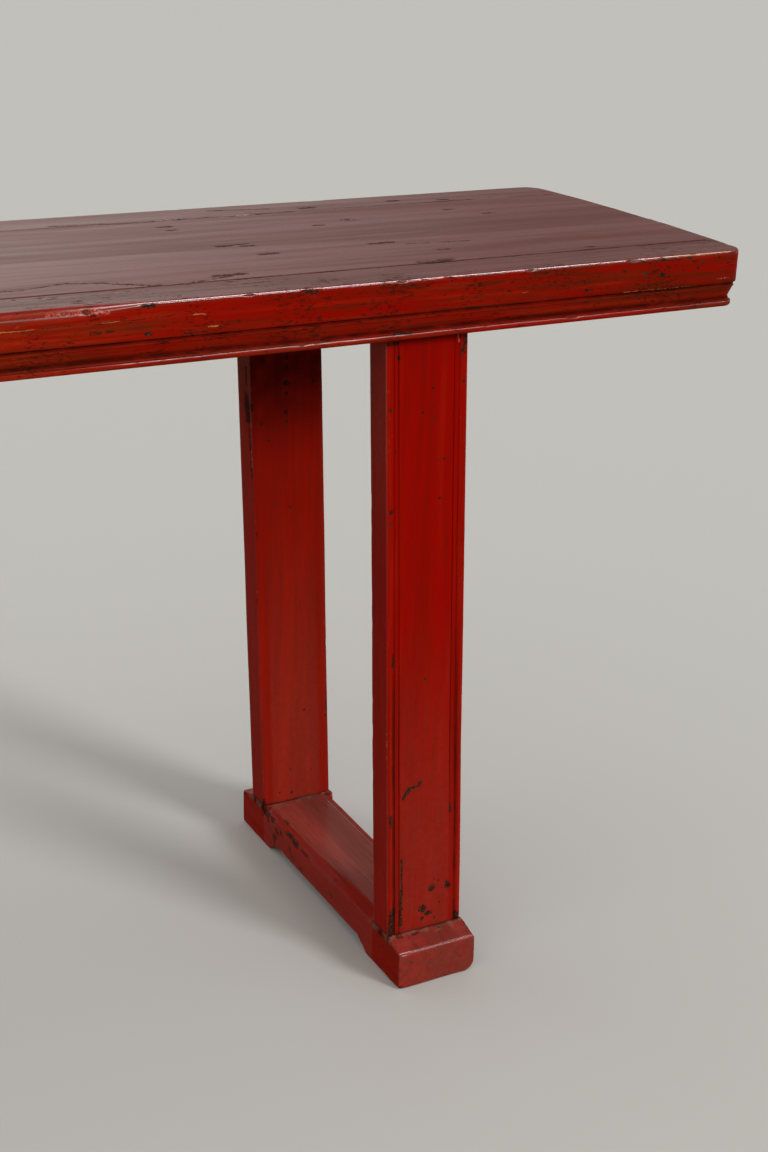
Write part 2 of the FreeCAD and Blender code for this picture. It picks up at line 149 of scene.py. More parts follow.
def rounded_rings(corners: Array, radii: Array, line_steps: Sequence[int], arc_steps: int = 6) -> Array:
    """Rounds every corner of many closed outlines at once and divides their sides.

    Each corner gives way to the circular arc that touches its two sides. It is the rational curve
    ((1-t)^2 a + 2 t (1-t) w c + t^2 b) / ((1-t)^2 + 2 t (1-t) w + t^2), where a and b are the points of
    touch, c the corner and w the sine of half its angle. A radius too large for its sides is cut down.

    Args:
        corners: The outlines, as rings by corners by two.
        radii: The radius at each corner, as rings by corners.
        line_steps: How many steps the straight part after each corner gets.
        arc_steps: How many steps each arc gets.

    Returns:
        The outlines' points, as rings by points by two.
    """
    to_next = np.roll(corners, -1, axis=1) - corners
    length = np.linalg.norm(to_next, axis=2, keepdims=True)
    ahead = to_next / np.maximum(length, 1e-9)
    behind = -np.roll(ahead, 1, axis=1)
    cosine = np.clip((ahead * behind).sum(axis=2, keepdims=True), -1, 1)
    half_angle = np.arccos(cosine) / 2
    reach = radii[..., None] / np.maximum(np.tan(half_angle), 1e-6)
    reach = np.minimum(reach, 0.45 * np.minimum(length, np.roll(length, 1, axis=1)))
    start, end = corners + behind * reach, corners + ahead * reach
    weight = np.sin(half_angle)
    pieces = []
    share = np.linspace(0, 1, arc_steps + 1).reshape(1, -1, 1)
    for index, steps in enumerate(line_steps):
        first, middle, last = (item[:, index:index + 1] for item in (start, corners, end))
        pull = 2 * share * (1 - share) * weight[:, index:index + 1]
        arc = (1 - share) ** 2 * first + pull * middle + share ** 2 * last
        pieces.append(arc / ((1 - share) ** 2 + pull + share ** 2))
        following = np.roll(start, -1, axis=1)[:, index:index + 1]
        inner = np.linspace(0, 1, steps + 1)[1:-1].reshape(1, -1, 1)
        pieces.append(last + (following - last) * inner)
    return np.concatenate(pieces, axis=1)


@dataclass
class Section:
    """A closed outline: its corners' places, radii, kinds and the steps that follow each.

    A place or a radius is one number for all rings, or an array with one for each.
    """

    corners: list[tuple[tuple[Any, Any], Any, Corner, int]]
    arris_width: float = 0.0022
    hollow_width: float = 0.0016

    def rings(self) -> tuple[Array, dict[str, Array]]:
        """Works out the outline's points and how near each is to an arris or a hollow.

        Returns:
            The points, as rings by points by two, and the nearness by name.
        """
        places, radii, kinds, steps = zip(*self.corners)
        count = max(np.size(value) for value in [*radii, *(number for place in places for number in place)])
        whole = np.stack([
            np.stack([np.broadcast_to(number, (count,)) for number in place], axis=-1) for place in places
        ], axis=1).astype(float)
        rounding = np.stack([np.broadcast_to(radius, (count,)) for radius in radii], axis=1).astype(float)
        points = rounded_rings(whole, rounding, steps)
        marks = {}
        for name, sign, width in (("arris", 1, self.arris_width), ("hollow", -1, self.hollow_width)):
            marks[name] = self.nearness(points, whole, rounding, [sign * kind.value for kind in kinds], width)
        return points, marks

    @staticmethod
    def nearness(points: Array, corners: Array, radii: Array, strengths: list[float], width: float) -> Array:
        """How near each point is to the chosen corners: strength exp(-(d / w)^2).

        Here d is the distance to the corner less the depth that its rounding takes off, and w is the
        width plus a third of the radius.

        Args:
            points: The outline's points, as rings by points by two.
            corners: Its corners, as rings by corners by two.
            radii: The corners' radii.
            strengths: How strong each corner is, where only those over zero count.
            width: The distance over which nearness fades.

        Returns:
            A number from 0 to 1 for each point.
        """
        total = np.zeros(points.shape[:2])
        for index, strength in enumerate(strengths):
            if strength > 0:
                radius = radii[:, index:index + 1]
                distance = np.linalg.norm(points - corners[:, index:index + 1], axis=2)
                past = np.maximum(distance - CORNER_LOSS_SHARE * radius, 0) / (width + radius / 3)
                total = np.maximum(total, strength * np.exp(-past ** 2))
        return total


@dataclass(frozen=True)
class Mark:
    """One mark on a piece: a spot, or a line from start to end."""

    start: Place
    end: Place | None = None
    width: float = 0.003
    ragged: float = 0.9
    wander: float = 0.0
    tone: Tone = Tone.DARK
    depth: float = 0.0

    def distance(self, points: Array) -> Array:
        """The distance from points to the mark: to the nearest point of its line.

        Args:
            points: Places, with three numbers each along the last axis.

        Returns:
            The distance of each.
        """
        start = np.array(self.start)
        run = np.array(self.end or self.start) - start
        share = np.clip(((points - start) @ run) / max(run @ run, 1e-12), 0, 1)
        return np.linalg.norm(points - start - share[..., None] * run, axis=-1)


@dataclass(frozen=True)
class Ageing:
    """How far the years have worn a piece, in metres of depth and of spacing."""

    wave: float = 0.0003
    wave_cell: Place = (0.09, 0.09, 0.09)
    rub: float = 0.0004
    bite: float = 0.0006
    bite_cell: Place = (0.014, 0.014, 0.014)
    bite_from: float = 0.68
    bite_fade: float = 0.16
    lull_from: float = 0.35
    lull_to: float = 0.6
    seed: int = 1


@dataclass
class Loft:
    """A closed surface: a row of rings, each a closed loop of points, with a flat cap at each end."""

    points: Array
    marks: dict[str, Array] = field(default_factory=dict)

    def faces_out(self) -> bool:
        """Whether the quads, as numbered, face outwards: the volume that they enclose is then above zero.

        The volume is a sixth of the sum of a . (b x c) over all triangles a, b, c.

        Returns:
            Whether they do.
        """
        middle = self.points.reshape(-1, 3).mean(axis=0)
        first = self.points[:-1] - middle
        second = np.roll(first, -1, axis=1)
        fourth = self.points[1:] - middle
        third = np.roll(fourth, -1, axis=1)
        halves = (first * np.cross(second, third)).sum() + (first * np.cross(third, fourth)).sum()
        return bool(halves > 0)

    def normals(self) -> Array:
        """The outward normals: the cross product of the steps round the ring and along the row.

        Returns:
            A unit vector for each point, or none where the surface has no width.
        """
        around = np.roll(self.points, -1, axis=1) - np.roll(self.points, 1, axis=1)
        along = np.gradient(self.points, axis=0)
        normal = np.cross(around, along)
        length = np.linalg.norm(normal, axis=2, keepdims=True)
        unit = np.where(length > 1e-12, normal / np.maximum(length, 1e-12), 0)
        return unit if self.faces_out() else -unit

    def age(self, ageing: Ageing, marks: Sequence[Mark] = ()) -> None:
        """Pushes the surface in along its normals: by a wave, by wear of its arrises and by its marks.

        The wear of an arris is a rubbing that swells and fades, with short bites where two slow noises
        are both high. A mark is a dent of depth exp(-(d / w)^2), made uneven by noise.

        Args:
            ageing: How deep and how wide the wear is.
            marks: The marks that have a depth.
        """
        arris = self.marks["arris"]
        cell = np.array(ageing.bite_cell)
        wave = value_noise(self.points, ageing.wave_cell, ageing.seed)
        slow = value_noise(self.points, cell * 4, ageing.seed + 1)
        quick = value_noise(self.points, cell, ageing.seed + 3)
        bite = smooth_step(ageing.bite_from, ageing.bite_from + ageing.bite_fade,
                           value_noise(self.points, cell, ageing.seed + 2))
        bite = bite * smooth_step(ageing.lull_from, ageing.lull_to, slow) * arris
        depth = ageing.wave * wave + ageing.rub * (0.6 * slow + 0.4 * quick) * arris + ageing.bite * bite
        for mark in marks:
            if mark.depth > 0:
                near = np.exp(-(mark.distance(self.points) / mark.width) ** 2)
                depth = depth + mark.depth * near * (0.5 + quick)
        self.points = self.points - self.normals() * depth[..., None]
        self.marks["bite"] = bite

    def mesh(self, name: str) -> bpy.types.Object:
        """Makes the mesh object, with the marks as attributes of its points.

        Args:
            name: The object's name.

        Returns:
            The object, at the origin.
        """
        rings, around = self.points.shape[:2]
        numbers = np.arange(rings * around).reshape(rings, around)
        here, there = numbers[:-1], numbers[1:]
        quads = np.stack([here, np.roll(here, -1, axis=1), np.roll(there, -1, axis=1), there], axis=-1)
        quads = quads.reshape(-1, 4)
        caps = [numbers[0][::-1], numbers[-1]]
        if not self.faces_out():
            quads = quads[:, ::-1]
            caps = [cap[::-1] for cap in caps]
        data = bpy.data.meshes.new(name)
        data.from_pydata(self.points.reshape(-1, 3), [], quads.tolist() + [cap.tolist() for cap in caps])
        for mark, values in self.marks.items():
            layer = data.attributes.new(mark, "FLOAT", "POINT")
            whole = np.broadcast_to(values, (rings, around)).astype(np.float32)
            layer.data.foreach_set("value", whole.ravel())
        shape = bmesh.new()
        shape.from_mesh(data)
        bmesh.ops.remove_doubles(shape, verts=shape.verts, dist=MERGE_DISTANCE)
        bmesh.ops.dissolve_degenerate(shape, edges=shape.edges, dist=LEAST_EDGE)
        shape.to_mesh(data)
        shape.free()
        data.shade_smooth()
        data.set_sharp_from_angle(angle=SHARP_ANGLE)
        data.update()
        piece = bpy.data.objects.new(name, data)
        bpy.context.scene.collection.objects.link(piece)
        return piece


@dataclass(frozen=True)
class Colour:
    """A colour as it looks on a screen, from 0 to 255."""

    red: int
    green: int
    blue: int

    def linear(self) -> tuple[float, float, float, float]:
        """The same colour as a shader takes it: each share s is s / 12.92, or ((s + 0.055) / 1.055)^2.4.

        Returns:
            Red, green and blue, and an alpha of 1.
        """
        shares = [value / 255 for value in (self.red, self.green, self.blue)]
        light = [s / 12.92 if s <= 0.04045 else ((s + 0.055) / 1.055) ** 2.4 for s in shares]
        return light[0], light[1], light[2], 1.0


class Graph:
    """Adds nodes to one node tree and links them by their sockets' names."""

    def __init__(self, tree: bpy.types.NodeTree) -> None:
        """Starts on the node tree to add to."""
        self.tree = tree

    def add(self, kind: str, inputs: dict[Any, Any] | None = None, **settings: Any) -> bpy.types.Node:
        """Adds a node.

        Args:
            kind: The node's type, without the word ShaderNode.
            inputs: Values or sockets for its inputs, by name or number.
            settings: Its other settings.

        Returns:
            The node.
        """
        node = self.tree.nodes.new("ShaderNode" + kind)
        for setting, value in settings.items():
            setattr(node, setting, value)
        for key, value in (inputs or {}).items():
            self.feed(node.inputs[key], value)
        return node

    def feed(self, socket: Socket, value: Any) -> None:
        """Links a socket to an input, or sets the input to a value.

        Args:
            socket: The input.
            value: A socket, a colour or a plain value.
        """
        if isinstance(value, Socket):
            self.tree.links.new(value, socket)
        elif isinstance(value, Colour):
            socket.default_value = value.linear()
        else:
            socket.default_value = value

    def math(self, operation: str, *values: Any, clamp: bool = False) -> Socket:
        """The result of an operation on values, in their order, kept from 0 to 1 where clamp is true."""
        node = self.add("Math", dict(enumerate(values)), operation=operation, use_clamp=clamp)
        return node.outputs[0]

    def product(self, *values: Any) -> Socket:
        """Multiplies values.

        Args:
            values: Two or more of them.

        Returns:
            Their product.
        """
        total = values[0]
        for value in values[1:]:
            total = self.math("MULTIPLY", total, value)
        return total

    def highest(self, *values: Any) -> Socket:
        """Finds the highest value.

        Args:
            values: One or more of them.

        Returns:
            The highest.
        """
        total = values[0]
        for value in values[1:]:
            total = self.math("MAXIMUM", total, value)
        return total

    def vector(self, operation: str, *values: Any) -> Socket:
        """A Vector Math node's vector, from its inputs in order."""
        return self.add("VectorMath", dict(enumerate(values)), operation=operation).outputs[0]

    def number(self, operation: str, *values: Any) -> Socket:
        """A Vector Math node's number, from its inputs in order."""
        return self.add("VectorMath", dict(enumerate(values)), operation=operation).outputs["Value"]

    def scaled(self, vector: Any, scale: Any) -> Socket:
        """A vector times a number."""
        return self.add("VectorMath", {0: vector, "Scale": scale}, operation="SCALE").outputs[0]

    def step(self, value: Any, low: Any, high: Any, bottom: float = 0.0, top: float = 1.0) -> Socket:
        """A smooth step from bottom at low to top at high.

        Args:
            value: What is stepped.
            low: Where the step starts.
            high: Where it ends.
            bottom: The value before it.
            top: The value after it.

        Returns:
            The result.
        """
        node = self.add("MapRange", {"Value": value, "From Min": low, "From Max": high, "To Min": bottom,
                                     "To Max": top}, interpolation_type="SMOOTHSTEP")
        return node.outputs["Result"]

    def mix(self, factor: Any, first: Any, second: Any) -> Socket:
        """The mix of two colours, where the factor is the second colour's share."""
        node = self.add("Mix", {0: factor, 6: first, 7: second}, data_type="RGBA")
        return node.outputs[2]

    def blend(self, factor: Any, first: Any, second: Any) -> Socket:
        """Mixes two numbers, with the factor as the second one's share."""
        return self.add("Mix", {0: factor, 2: first, 3: second}).outputs[0]

    def noise(self, vector: Any, scale: Any, detail: float = 3.0, roughness: float = 0.55,
              distortion: float = 0.0, output: str = "Fac") -> Socket:
        """Noise from 0 to 1 at the vector.

        Args:
            vector: Where it is read.
            scale: How many features a metre.
            detail: How many finer layers it has.
            roughness: How strong they are.
            distortion: How far it swirls.
            output: Fac for a number or Color for three.

        Returns:
            The noise.
        """
        node = self.add("TexNoise", {"Vector": vector, "Scale": scale, "Detail": detail,
                                     "Roughness": roughness, "Distortion": distortion})
        return node.outputs[output]

    def drift(self, vector: Any, scale: Any, detail: float, swing: float) -> Socket:
        """A vector of noise, read at a vector, that points any way and is as long as the swing."""
        noise = self.noise(vector, scale, detail, 0.7, output="Color")
        return self.scaled(self.vector("SUBTRACT", noise, (0.5, 0.5, 0.5)), swing)


class Effect:
    """A shader node group that is built once and placed in each material with its own values."""

    name = "effect"
    vectors: tuple[str, ...] = ("Vector",)
    values: dict[str, float] = {}
    colours: tuple[str, ...] = ()
    results: tuple[str, ...] = ("Mask",)
    colour_results: tuple[str, ...] = ()

    @classmethod
    def tree(cls) -> bpy.types.NodeTree:
        """Finds the group's node tree, or makes it when it is first asked for.

        Returns:
            The tree.
        """
        found = bpy.data.node_groups.get(cls.name)
        if found:
            return found
        tree = bpy.data.node_groups.new(cls.name, "ShaderNodeTree")
        for title in cls.vectors:
            tree.interface.new_socket(title, in_out="INPUT", socket_type="NodeSocketVector")
        for title, value in cls.values.items():
            socket = tree.interface.new_socket(title, in_out="INPUT", socket_type="NodeSocketFloat")
            socket.default_value = value
        for title in cls.colours:
            tree.interface.new_socket(title, in_out="INPUT", socket_type="NodeSocketColor")
        for title in cls.colour_results:
            tree.interface.new_socket(title, in_out="OUTPUT", socket_type="NodeSocketColor")
        for title in cls.results:
            tree.interface.new_socket(title, in_out="OUTPUT", socket_type="NodeSocketFloat")
        graph = Graph(tree)
        given = tree.nodes.new("NodeGroupInput").outputs
        made = cls.build(graph, {socket.name: socket for socket in given if socket.name})
        end = tree.nodes.new("NodeGroupOutput")
        for title, socket in made.items():
            tree.links.new(socket, end.inputs[title])
        return tree

    @classmethod
    def build(cls, graph: Graph, given: dict[str, Socket]) -> dict[str, Socket]:
        """Builds the inside of the group, from its inputs by name to its results by name."""
        raise NotImplementedError

    @classmethod
    def place(cls, graph: Graph, inputs: dict[str, Any]) -> Any:
        """Places the group in a material or in another group.

        Args:
            graph: The material's graph.
            inputs: Its inputs by name.

        Returns:
            The outputs of the group's node.
        """
        node = graph.add("Group", node_tree=cls.tree())
        for key, value in inputs.items():
            graph.feed(node.inputs[key], value)
        return node.outputs


class GrainEffect(Effect):
    """Long streaks of grain: noise that is drawn out along the wood, coarse and fine."""

    name = "wood_grain"
    vectors = ("Vector", "Stretch")
    values = {"Scale": 60.0}
    results = ("Streak", "Fine", "Cloud")

    @classmethod
    def build(cls, graph: Graph, given: dict[str, Socket]) -> dict[str, Socket]:
        """Reads three noises on the drawn-out vector.

        Args:
            graph: What adds the nodes.
            given: The group's inputs by name.

        Returns:
            The group's results by name.
        """
        warp = graph.noise(given["Vector"], 3.0, 2.0, output="Color")
        bent = graph.vector("MULTIPLY_ADD", warp, (0.02, 0.02, 0.02), given["Vector"])
        along = graph.vector("MULTIPLY", bent, given["Stretch"])
        return {
            "Streak": graph.noise(along, given["Scale"], 4.0, 0.6),
            "Fine": graph.noise(along, graph.product(given["Scale"], 7.0), 2.0, 0.6),
            "Cloud": graph.noise(along, graph.product(given["Scale"], 0.2), 3.0, 0.6, 0.4),
        }


class FleckEffect(Effect):
    """Ragged flecks where the lacquer has gone: the peaks of a rough noise, inside patches."""

    name = "lacquer_flecks"
    vectors = ("Vector", "Stretch")
    values = {"Scale": 120.0, "Amount": 0.3, "Patch scale": 9.0}

    @classmethod
    def build(cls, graph: Graph, given: dict[str, Socket]) -> dict[str, Socket]:
        """Cuts the noise at a height that sinks as the amount and the patch grow.

        Args:
            graph: What adds the nodes.
            given: The group's inputs by name.

        Returns:
            The group's results by name.
        """
        along = graph.vector("MULTIPLY", given["Vector"], given["Stretch"])
        peaks = graph.noise(along, given["Scale"], 4.0, 0.62, 0.3)
        patch = graph.step(graph.noise(given["Vector"], given["Patch scale"], 2.0), 0.38, 0.66)
        drop = graph.product(patch, given["Amount"], 0.2)
        low = graph.math("SUBTRACT", 0.76, drop)
        return {"Mask": graph.step(peaks, low, graph.math("ADD", low, 0.02))}


class MarkEffect(Effect):
    """One mark: everything within a ragged width of the straight line between two points."""

    name = "single_mark"
    vectors = ("Vector", "Fine drift", "Slow drift", "Start", "End")
    values = {"Width": 0.003, "Ragged": 0.9, "Wander": 0.0, "Before": 0.0}

    @classmethod
    def build(cls, graph: Graph, given: dict[str, Socket]) -> dict[str, Socket]:
        """Steps the distance to the nearest point of the line, read at a place that noise moves.

        Args:
            graph: What adds the nodes.
            given: The group's inputs by name.

        Returns:
            The group's results by name.
        """
        width = given["Width"]
        ragged = graph.scaled(given["Fine drift"], graph.product(width, given["Ragged"]))
        wandering = graph.scaled(given["Slow drift"], given["Wander"])
        at = graph.vector("ADD", given["Vector"], graph.vector("ADD", ragged, wandering))
        to_point = graph.vector("SUBTRACT", at, given["Start"])
        to_end = graph.vector("SUBTRACT", given["End"], given["Start"])
        length = graph.math("MAXIMUM", graph.number("DOT_PRODUCT", to_end, to_end), 1e-8)
        share = graph.math("DIVIDE", graph.number("DOT_PRODUCT", to_point, to_end), length, clamp=True)
        distance = graph.number("DISTANCE", to_point, graph.scaled(to_end, share))
        return {"Mask": graph.highest(graph.step(distance, graph.product(width, 0.7), width, 1.0, 0.0),
                                      given["Before"])}


class KnotEffect(Effect):
    """One knot: a dark core in wavy rings that fade outwards."""

    name = "wood_knot"
    vectors = ("Vector", "Centre", "Squeeze")
    values = {"Radius": 0.012, "Before": 0.0}

    @classmethod
    def build(cls, graph: Graph, given: dict[str, Socket]) -> dict[str, Socket]:
        """Takes the sine of the distance to the centre, made uneven by noise.

        Args:
            graph: What adds the nodes.
            given: The group's inputs by name.

        Returns:
            The group's results by name.
        """
        away = graph.vector("MULTIPLY", graph.vector("SUBTRACT", given["Vector"], given["Centre"]),
                            given["Squeeze"])
        uneven = graph.math("SUBTRACT", graph.noise(given["Vector"], 90.0, 2.0), 0.5)
        uneven = graph.product(uneven, given["Radius"], 0.9)
        distance = graph.math("ADD", graph.number("LENGTH", away), uneven)
        share = graph.math("DIVIDE", distance, given["Radius"])
        ring = graph.step(graph.math("SINE", graph.product(share, 17.0)), 0.1, 0.9)
        fading = graph.step(share, 0.35, 1.0, 0.75, 0.0)
        core = graph.step(share, 0.1, 0.28, 1.0, 0.0)
        return {"Mask": graph.highest(core, graph.product(ring, fading), given["Before"])}


class LacquerEffect(Effect):
    """Red lacquer on wood, with glaze streaks, flecks, rubbed arrises, dirt and dust, where some of the dirt,
    dust, warmth and rubbing is painted shade, reflection, light and highlight.
    """

    name = "worn_lacquer"
    vectors = ("Vector", "Stretch", "Fleck stretch")
    values = {
        "Level": 0.0, "Arris": 0.0, "Hollow": 0.0, "Bite": 0.0, "Dusty": 0.0, "Scuffed": 0.0, "Warm": 0.0,
        "Dark marks": 0.0, "Bare marks": 0.0, "Rubbed marks": 0.0, "Pale marks": 0.0,
        "Knots": 0.0, "Grain scale": 60.0, "Glaze": 0.5, "Flecks": 0.3, "Fleck scale": 150.0,
        "Hairlines": 0.5, "Rubbing": 0.6, "Bareness": 0.2, "Grime": 0.8, "Dust": 0.3, "Shine": 0.3,
        "Edge shine": 0.6, "Top shine": 0.8, "Fading": 0.6, "Dullness": 0.36,
    }
    colours = ("Red", "Deep red", "Ember", "Faded", "Glaze brown", "Undercoat", "Rubbed", "Bare wood", "Dirt",
               "Dust grey", "Pale")
    colour_results = ("Color",)
    results = ("Roughness", "Coat", "Height")

    @classmethod
    def build(cls, graph: Graph, given: dict[str, Socket]) -> dict[str, Socket]:
        """Lays one layer of colour over another, and gathers roughness, coat and height on the way.

        Args:
            graph: What adds the nodes.
            given: The group's inputs by name.

        Returns:
            The group's results by name.
        """
        at = given["Vector"]
        whole = graph.math("SUBTRACT", 1.0, given["Scuffed"], clamp=True)
        arris = graph.product(given["Arris"], whole)
        flat = given["Level"]
        grain = GrainEffect.place(graph, {"Vector": at, "Stretch": given["Stretch"],
                                          "Scale": given["Grain scale"]})
        lines = graph.vector("MULTIPLY", at, given["Stretch"])
        streaks = graph.vector("MULTIPLY", at, given["Fleck stretch"])
        colour = cls.paint(graph, given, grain, lines, graph.product(flat, given["Fading"]))

        crumble = graph.noise(at, 430.0, 3.0, 0.65)
        patch = graph.noise(at, 22.0, 3.0)
        # Ember where the warm attribute asks: the lacquer's own tone, and on the leg sides also painted light
        warm = graph.step(graph.noise(lines, 260.0, 3.0, 0.65), 0.38, 0.62, 0.25, 0.9)
        colour = graph.mix(graph.product(given["Warm"], warm), colour, given["Ember"])
        scuffs = graph.product(given["Scuffed"], graph.step(graph.noise(streaks, 110.0, 4.0, 0.7), 0.4, 0.62))
        colour = graph.mix(graph.product(scuffs, 0.35), colour, given["Glaze brown"])
        drawn = {"Vector": at, "Stretch": given["Fleck stretch"]}
        flecks = FleckEffect.place(graph, drawn | {"Scale": given["Fleck scale"],
                                                   "Amount": given["Flecks"]})[0]
        specks = FleckEffect.place(graph, drawn | {"Scale": graph.product(given["Fleck scale"], 2.4),
                                                   "Amount": graph.product(given["Flecks"], 1.1),
                                                   "Patch scale": 15.0})[0]
        nibbled = graph.product(arris, graph.step(graph.noise(streaks, 170.0, 4.0, 0.65), 0.54, 0.62),
                                graph.step(patch, 0.45, 0.6), given["Rubbing"])
        bitten = graph.step(graph.product(given["Bite"], graph.math("ADD", crumble, 0.5)), 0.3, 0.5)
        flaked = graph.highest(flecks, specks, graph.step(nibbled, 0.3, 0.45), bitten)
        gone = graph.highest(flaked, given["Dark marks"])

        # Rubbed pink on the arrises: worn lacquer, and also a painted highlight along the edges
        rubbed = graph.step(graph.math("ADD", graph.product(arris, given["Rubbing"]),
                                       graph.product(crumble, 0.5)), 0.6, 1.05)
        rubbed = graph.product(rubbed, graph.step(patch, 0.3, 0.6, 0.25, 0.8))
        rubbed = graph.highest(rubbed, graph.product(given["Rubbed marks"], graph.step(crumble, 0.4, 0.62)))
        colour = graph.mix(rubbed, colour, given["Rubbed"])
        tan = graph.product(graph.highest(arris, given["Warm"]), given["Bareness"],
                            graph.step(graph.noise(streaks, 420.0, 3.0, 0.6), 0.56, 0.64))
        tan = graph.product(tan, graph.step(graph.noise(at, 31.0, 2.0), 0.42, 0.6))
        bare = graph.highest(graph.step(tan, 0.1, 0.4), given["Bare marks"])
        colour = graph.mix(graph.product(bare, 0.85), colour, given["Bare wood"])
        grey = graph.product(given["Dark marks"], graph.step(crumble, 0.45, 0.65), 0.22)
        under = graph.mix(grey, given["Undercoat"], given["Dust grey"])
        colour = graph.mix(graph.highest(graph.product(flaked, 0.7), given["Dark marks"]), colour, under)
        colour = graph.mix(graph.product(given["Knots"], 0.75), colour, given["Undercoat"])
        colour = graph.mix(graph.product(given["Pale marks"], 0.6), colour, given["Pale"])

        # Dirt in hollows and joints; on a rear leg's upper part and in the edge rails' quirks this darkening
        # is also painted shade
        dirt = graph.product(given["Hollow"], graph.step(graph.noise(at, 40.0, 3.0), 0.25, 0.6, 0.5, 1.0),
                             given["Grime"])
        colour = graph.mix(dirt, colour, given["Dirt"])
        # Dust grey: real dust, and on the legs also a painted reflection of the floor and a painted sheen on
        # the sides
        powder = graph.noise(at, 130.0, 4.0, 0.7)
        film = graph.product(flat, graph.step(grain["Cloud"], 0.2, 0.8, 0.4, 1.0))
        dust = graph.highest(graph.product(given["Dusty"], graph.step(powder, 0.35, 0.65, 0.7, 1.0)),
                             graph.product(film, given["Dust"]))
        dust = graph.product(dust, graph.math("SUBTRACT", 1.0, graph.product(given["Dark marks"], 0.85)))
        colour = graph.mix(dust, colour, given["Dust grey"])

        height = graph.product(grain["Streak"], 0.00025)
        height = graph.math("ADD", height, graph.product(grain["Fine"], 0.00008))
        height = graph.math("ADD", height, graph.product(patch, 0.0004))
        height = graph.math("SUBTRACT", height, graph.product(flaked, 0.0004))
        lost = graph.highest(gone, dirt, graph.product(bare, 0.6), given["Knots"])
        return {"Color": colour, "Height": height} | cls.gloss(graph, given, grain, arris, lost, dust)

    @staticmethod
    def gloss(graph: Graph, given: dict[str, Socket], grain: Any, arris: Socket, lost: Socket,
              dust: Socket) -> dict[str, Socket]:
        """How the surface shines: dull where lacquer is lost or where dust and painted sheen lie, polished on
        arrises and the top.

        Args:
            graph: What adds the nodes.
            given: The group's inputs.
            grain: The outputs of the grain.
            arris: Where the sound arrises are.
            lost: Where the lacquer is gone.
            dust: Where dust lies.

        Returns:
            The roughness and the coat.
        """
        rough = graph.math("ADD", given["Dullness"], graph.product(lost, 0.3))
        rough = graph.math("ADD", rough, graph.product(grain["Streak"], 0.08))
        rough = graph.math("ADD", rough, graph.product(dust, 0.15), clamp=True)
        streaky = graph.math("ADD", graph.product(grain["Cloud"], 0.5), graph.product(grain["Streak"], 0.5))
        polished = graph.step(streaky, 0.36, 0.62, 1.0, 0.6)
        top_shine = graph.product(given["Level"], given["Top shine"], polished)
        edge_shine = graph.product(arris, given["Edge shine"])
        kept = graph.math("SUBTRACT", 1.0, graph.product(lost, 0.85), clamp=True)
        coat = graph.product(graph.highest(top_shine, edge_shine, given["Shine"]), kept)
        return {"Roughness": rough, "Coat": coat}

    @staticmethod
    def paint(graph: Graph, given: dict[str, Socket], grain: Any, lines: Socket, faded: Socket) -> Socket:
        """The lacquer's own colour: reds that drift, a faded top, brown glaze and hairlines.

        Args:
            graph: What adds the nodes.
            given: The group's inputs.
            grain: The outputs of the grain.
            lines: The vector that is drawn out along the grain.
            faded: How far the colour has faded.

        Returns:
            The colour.
        """
        at = given["Vector"]
        shade = graph.math("ADD", graph.product(grain["Cloud"], 0.6), graph.product(grain["Streak"], 0.4))
        colour = graph.mix(graph.step(shade, 0.4, 0.6), given["Red"], given["Deep red"])
        ember = graph.step(graph.noise(lines, 75.0, 3.0, 0.6), 0.5, 0.72, 0.0, 0.45)
        colour = graph.mix(ember, colour, given["Ember"])
        mellow = graph.mix(graph.step(shade, 0.38, 0.62, 0.0, 0.6), given["Faded"], given["Glaze brown"])
        colour = graph.mix(faded, colour, mellow)
        mottled = graph.product(graph.step(grain["Fine"], 0.35, 0.75), 0.22)
        colour = graph.mix(mottled, colour, given["Glaze brown"])
        glaze = graph.product(graph.step(graph.noise(lines, 120.0, 6.0, 0.72, 0.2), 0.5, 0.66),
                              graph.step(graph.noise(at, 6.0, 2.0), 0.32, 0.62), given["Glaze"])
        colour = graph.mix(glaze, colour, given["Glaze brown"])
        hairs = graph.product(graph.step(graph.noise(lines, 360.0, 3.0, 0.6), 0.62, 0.7),
                              graph.step(graph.noise(at, 12.0, 2.0), 0.42, 0.6), given["Hairlines"])
        return graph.mix(hairs, colour, given["Undercoat"])


def new_material(name: str) -> tuple[Graph, bpy.types.Material]:
    """Makes an empty material.

    Args:
        name: Its name.

    Returns:
        What adds its nodes, and the material.
    """
    material = bpy.data.materials.new(name)
    material.use_nodes = True
    material.node_tree.nodes.clear()
    return Graph(material.node_tree), material


@dataclass(frozen=True)
class Knot:
    """A knot in the wood of the top."""

    centre: Place
    radius: float
    squeeze: Place = (1.15, 0.8, 1.0)


